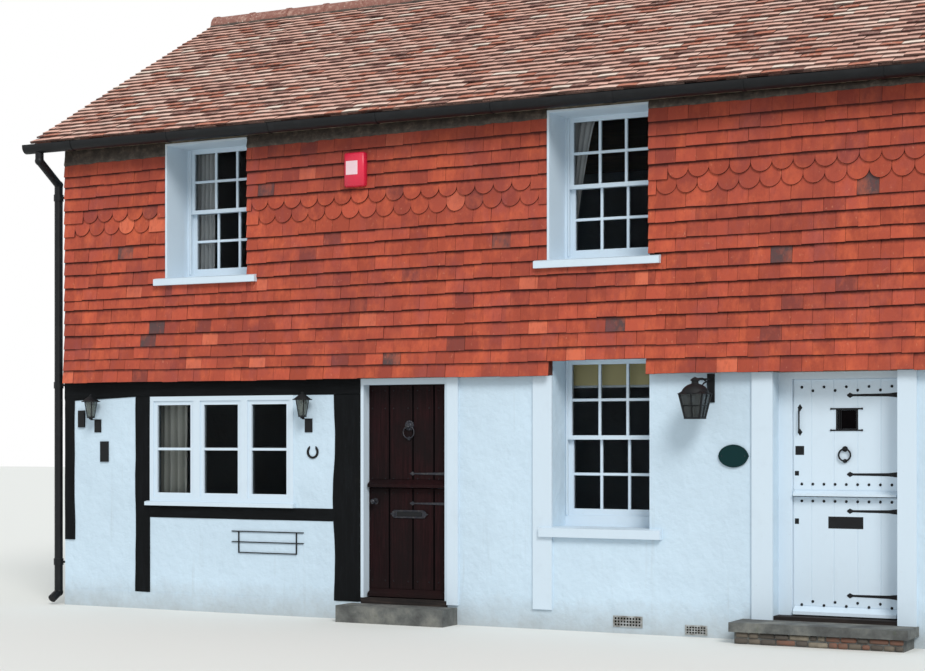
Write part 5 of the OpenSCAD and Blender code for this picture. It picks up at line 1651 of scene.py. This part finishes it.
class COTTAGE_OT_step_rubble(bpy.types.Operator):
    """Face the foot of the stone step with rubble."""

    bl_idname = "cottage.step_rubble"
    bl_label = "Step Rubble"

    def execute(self, context):
        chance = random.Random(sizes().seed + 5)
        shape = Shape()
        tones = []
        x0, x1, face = LEFT + 6.559, LEFT + 7.829, FRONT - 0.295
        for row, (low, high) in enumerate(((0.002, 0.044), (0.046, 0.088))):
            x = x0 + 0.01 * row
            while x < x1 - 0.04:
                end = min(x + chance.uniform(0.06, 0.16), x1)
                before = len(shape.mesh.verts)
                shape.block((x + 0.003, face - chance.uniform(0.008, 0.018), low + chance.uniform(0, 0.004)),
                            (end - 0.003, face + 0.01, high - chance.uniform(0, 0.005)), 0.009)
                tones += [chance.random()] * (len(shape.mesh.verts) - before)
                x = end
        made = shape.object("step_rubble", "house", "rubble_stone", "floor_stone", (), 60)
        number_layer(made.data, "tone", tones)
        return {"FINISHED"}


# Finishes on the carried-over solids

NODE_FINISHES = {
    "party_render": ("left_party_wall", "right_party_wall"),
    "limewash": ("front_wall_middle", "front_wall_right",
                 "infill_panels", "plinth", "rear_wall_ground", "front_wall_upper", "rear_wall_upper"),
    "upright_timber": ("frame_posts", "door_post"),
    "level_timber": ("bressumer_beam", "sill_rail"),
    "white_paint": ("white_posts", "window_frames", "window_sashes", "window_sills", "casement_frame",
                    "casement_lights", "dark_door_frame", "white_door_frame"),
    "white_boards": ("white_door_lower", "white_door_upper"),
    "stained_boards": ("dark_door_lower", "dark_door_upper"),
    "tile_bed": ("tile_hanging_front", "tile_hanging_rear"),
    "roof_tile": ("roof_tiles_front", "roof_tiles_rear", "ridge_tiles"),
    "lime_mortar": ("eaves_mortar",),
    "sawn_timber": ("roof_front", "roof_rear", "upper_floor", "door_lintels"),
    "oak_board": ("thresholds",),
    "gutter_paint": ("eaves_boards", "gutter_front", "gutter_rear", "downpipe"),
    "old_glass": ("window_glass",),
    "lantern_pane": ("lantern_glass",),
    "black_iron": ("white_lower_iron", "white_upper_iron", "white_door_knocker", "white_pull_handle",
                   "coach_lanterns", "bracket_lantern", "wall_iron"),
    "dark_brass": ("dark_door_knob_plate", "dark_door_knocker"),
    "worn_stone": ("ground_floor", "door_steps"),
    "green_enamel": ("oval_plaque",),
    "red_plastic": ("alarm_box",),
    "clay_vent": ("air_bricks",),
}


class COTTAGE_OT_finishes(bpy.types.Operator):
    """Give every solid of the house its finish."""

    bl_idname = "cottage.finishes"
    bl_label = "Finishes"

    def execute(self, context):
        FINISHES.update(all_finishes())
        for finish, names in NODE_FINISHES.items():
            for name in names:
                slots = NODES[name].data.materials
                if not slots:
                    slots.append(FINISHES[finish])
                for i in range(len(slots)):
                    slots[i] = FINISHES[finish]
        plain = sorted(set(NODES) - {name for names in NODE_FINISHES.values() for name in names})
        if plain:
            raise RuntimeError("no finish for " + ", ".join(plain))
        return {"FINISHED"}


# Stage

class COTTAGE_OT_stage(bpy.types.Operator):
    """Set the floor, the light and the camera."""

    bl_idname = "cottage.stage"
    bl_label = "Stage"

    def execute(self, context):
        scene = context.scene
        scene.view_settings.view_transform = "Standard"
        half = 60.0
        mesh = bpy.data.meshes.new("floor")
        mesh.from_pydata([(-half, -half, 0), (half, -half, 0), (half, half, 0), (-half, half, 0)], [],
                         [(0, 1, 2, 3)])
        mesh.materials.append(Finish("pale_floor", 0.9, (226, 226, 222)).material)
        floor = bpy.data.objects.new("floor", mesh)
        scene.collection.objects.link(floor)
        self.sky(scene)
        lamp = bpy.data.lights.new("soft_sun", "SUN")
        lamp.energy = 2.0
        lamp.angle = math.radians(21)
        lamp.color = (1.0, 0.98, 0.95)
        sun = bpy.data.objects.new("soft_sun", lamp)
        scene.collection.objects.link(sun)
        sun.rotation_euler = Vector((-0.85, 1.0, -1.0)).to_track_quat("-Z", "Y").to_euler()
        lens = bpy.data.cameras.new("street_camera")
        lens.sensor_width = 36.0
        lens.lens = 73.17
        lens.shift_y = 0.1097
        lens.clip_end = 300
        camera = bpy.data.objects.new("street_camera", lens)
        camera.location = (6.722, -16.38, 1.54)
        camera.rotation_euler = (math.radians(90), 0, math.radians(27.46))
        scene.collection.objects.link(camera)
        scene.camera = camera
        return {"FINISHED"}

    def sky(self, scene):
        """Even light from all round, and white wherever the camera or a reflection sees past the house."""
        world = bpy.data.worlds.new("studio")
        world.use_nodes = True
        scene.world = world
        nodes = Nodes(world.node_tree)
        world.node_tree.nodes.clear()
        path = nodes.node("ShaderNodeLightPath")
        seen = nodes.number(path, "Is Camera Ray") + nodes.number(path, "Is Glossy Ray")
        seen = nodes.clamp(seen + nodes.number(path, "Is Transmission Ray"))
        lit = nodes.node("ShaderNodeBackground", None, {"Color": (0.90, 0.96, 1.0, 1.0), "Strength": 0.73})
        white = nodes.node("ShaderNodeBackground", None, {"Color": (1, 1, 1, 1), "Strength": 1.0})
        both = nodes.node("ShaderNodeMixShader", None, {0: seen, 1: lit, 2: white})
        nodes.node("ShaderNodeOutputWorld", None, {"Surface": both})


PIECES = (
    COTTAGE_OT_stage, COTTAGE_OT_finishes, COTTAGE_OT_hung_tiles, COTTAGE_OT_roof_tiles,
    COTTAGE_OT_ridge_bedding, COTTAGE_OT_glazing_bars, COTTAGE_OT_curtains, COTTAGE_OT_white_door,
    COTTAGE_OT_dark_door, COTTAGE_OT_fittings, COTTAGE_OT_rough_timber, COTTAGE_OT_step_rubble,
    COTTAGE_OT_eaves_pointing,
)


class COTTAGE_PT_panel(bpy.types.Panel):
    """Lists the sizes, the colours and every piece that can be made."""

    bl_idname = "COTTAGE_PT_panel"
    bl_label = "Cottage"
    bl_space_type = "VIEW_3D"
    bl_region_type = "UI"
    bl_category = "Cottage"

    def draw(self, context):
        for group in (context.scene.cottage_sizes, context.scene.cottage_colours):
            for name in group.__annotations__:
                self.layout.prop(group, name)
        for piece in PIECES:
            self.layout.operator(piece.bl_idname)


CLASSES = (CottageSizes, CottageColours, *PIECES, COTTAGE_PT_panel)


def register():
    for item in CLASSES:
        bpy.utils.register_class(item)
    bpy.types.Scene.cottage_sizes = PointerProperty(type=CottageSizes)
    bpy.types.Scene.cottage_colours = PointerProperty(type=CottageColours)


def unregister():
    del bpy.types.Scene.cottage_colours
    del bpy.types.Scene.cottage_sizes
    for item in reversed(CLASSES):
        bpy.utils.unregister_class(item)


def main():
    """Builds every piece in order."""
    register()
    for piece in PIECES:
        group, name = piece.bl_idname.split(".")
        getattr(getattr(bpy.ops, group), name)()


if __name__ == "__main__":
    main()
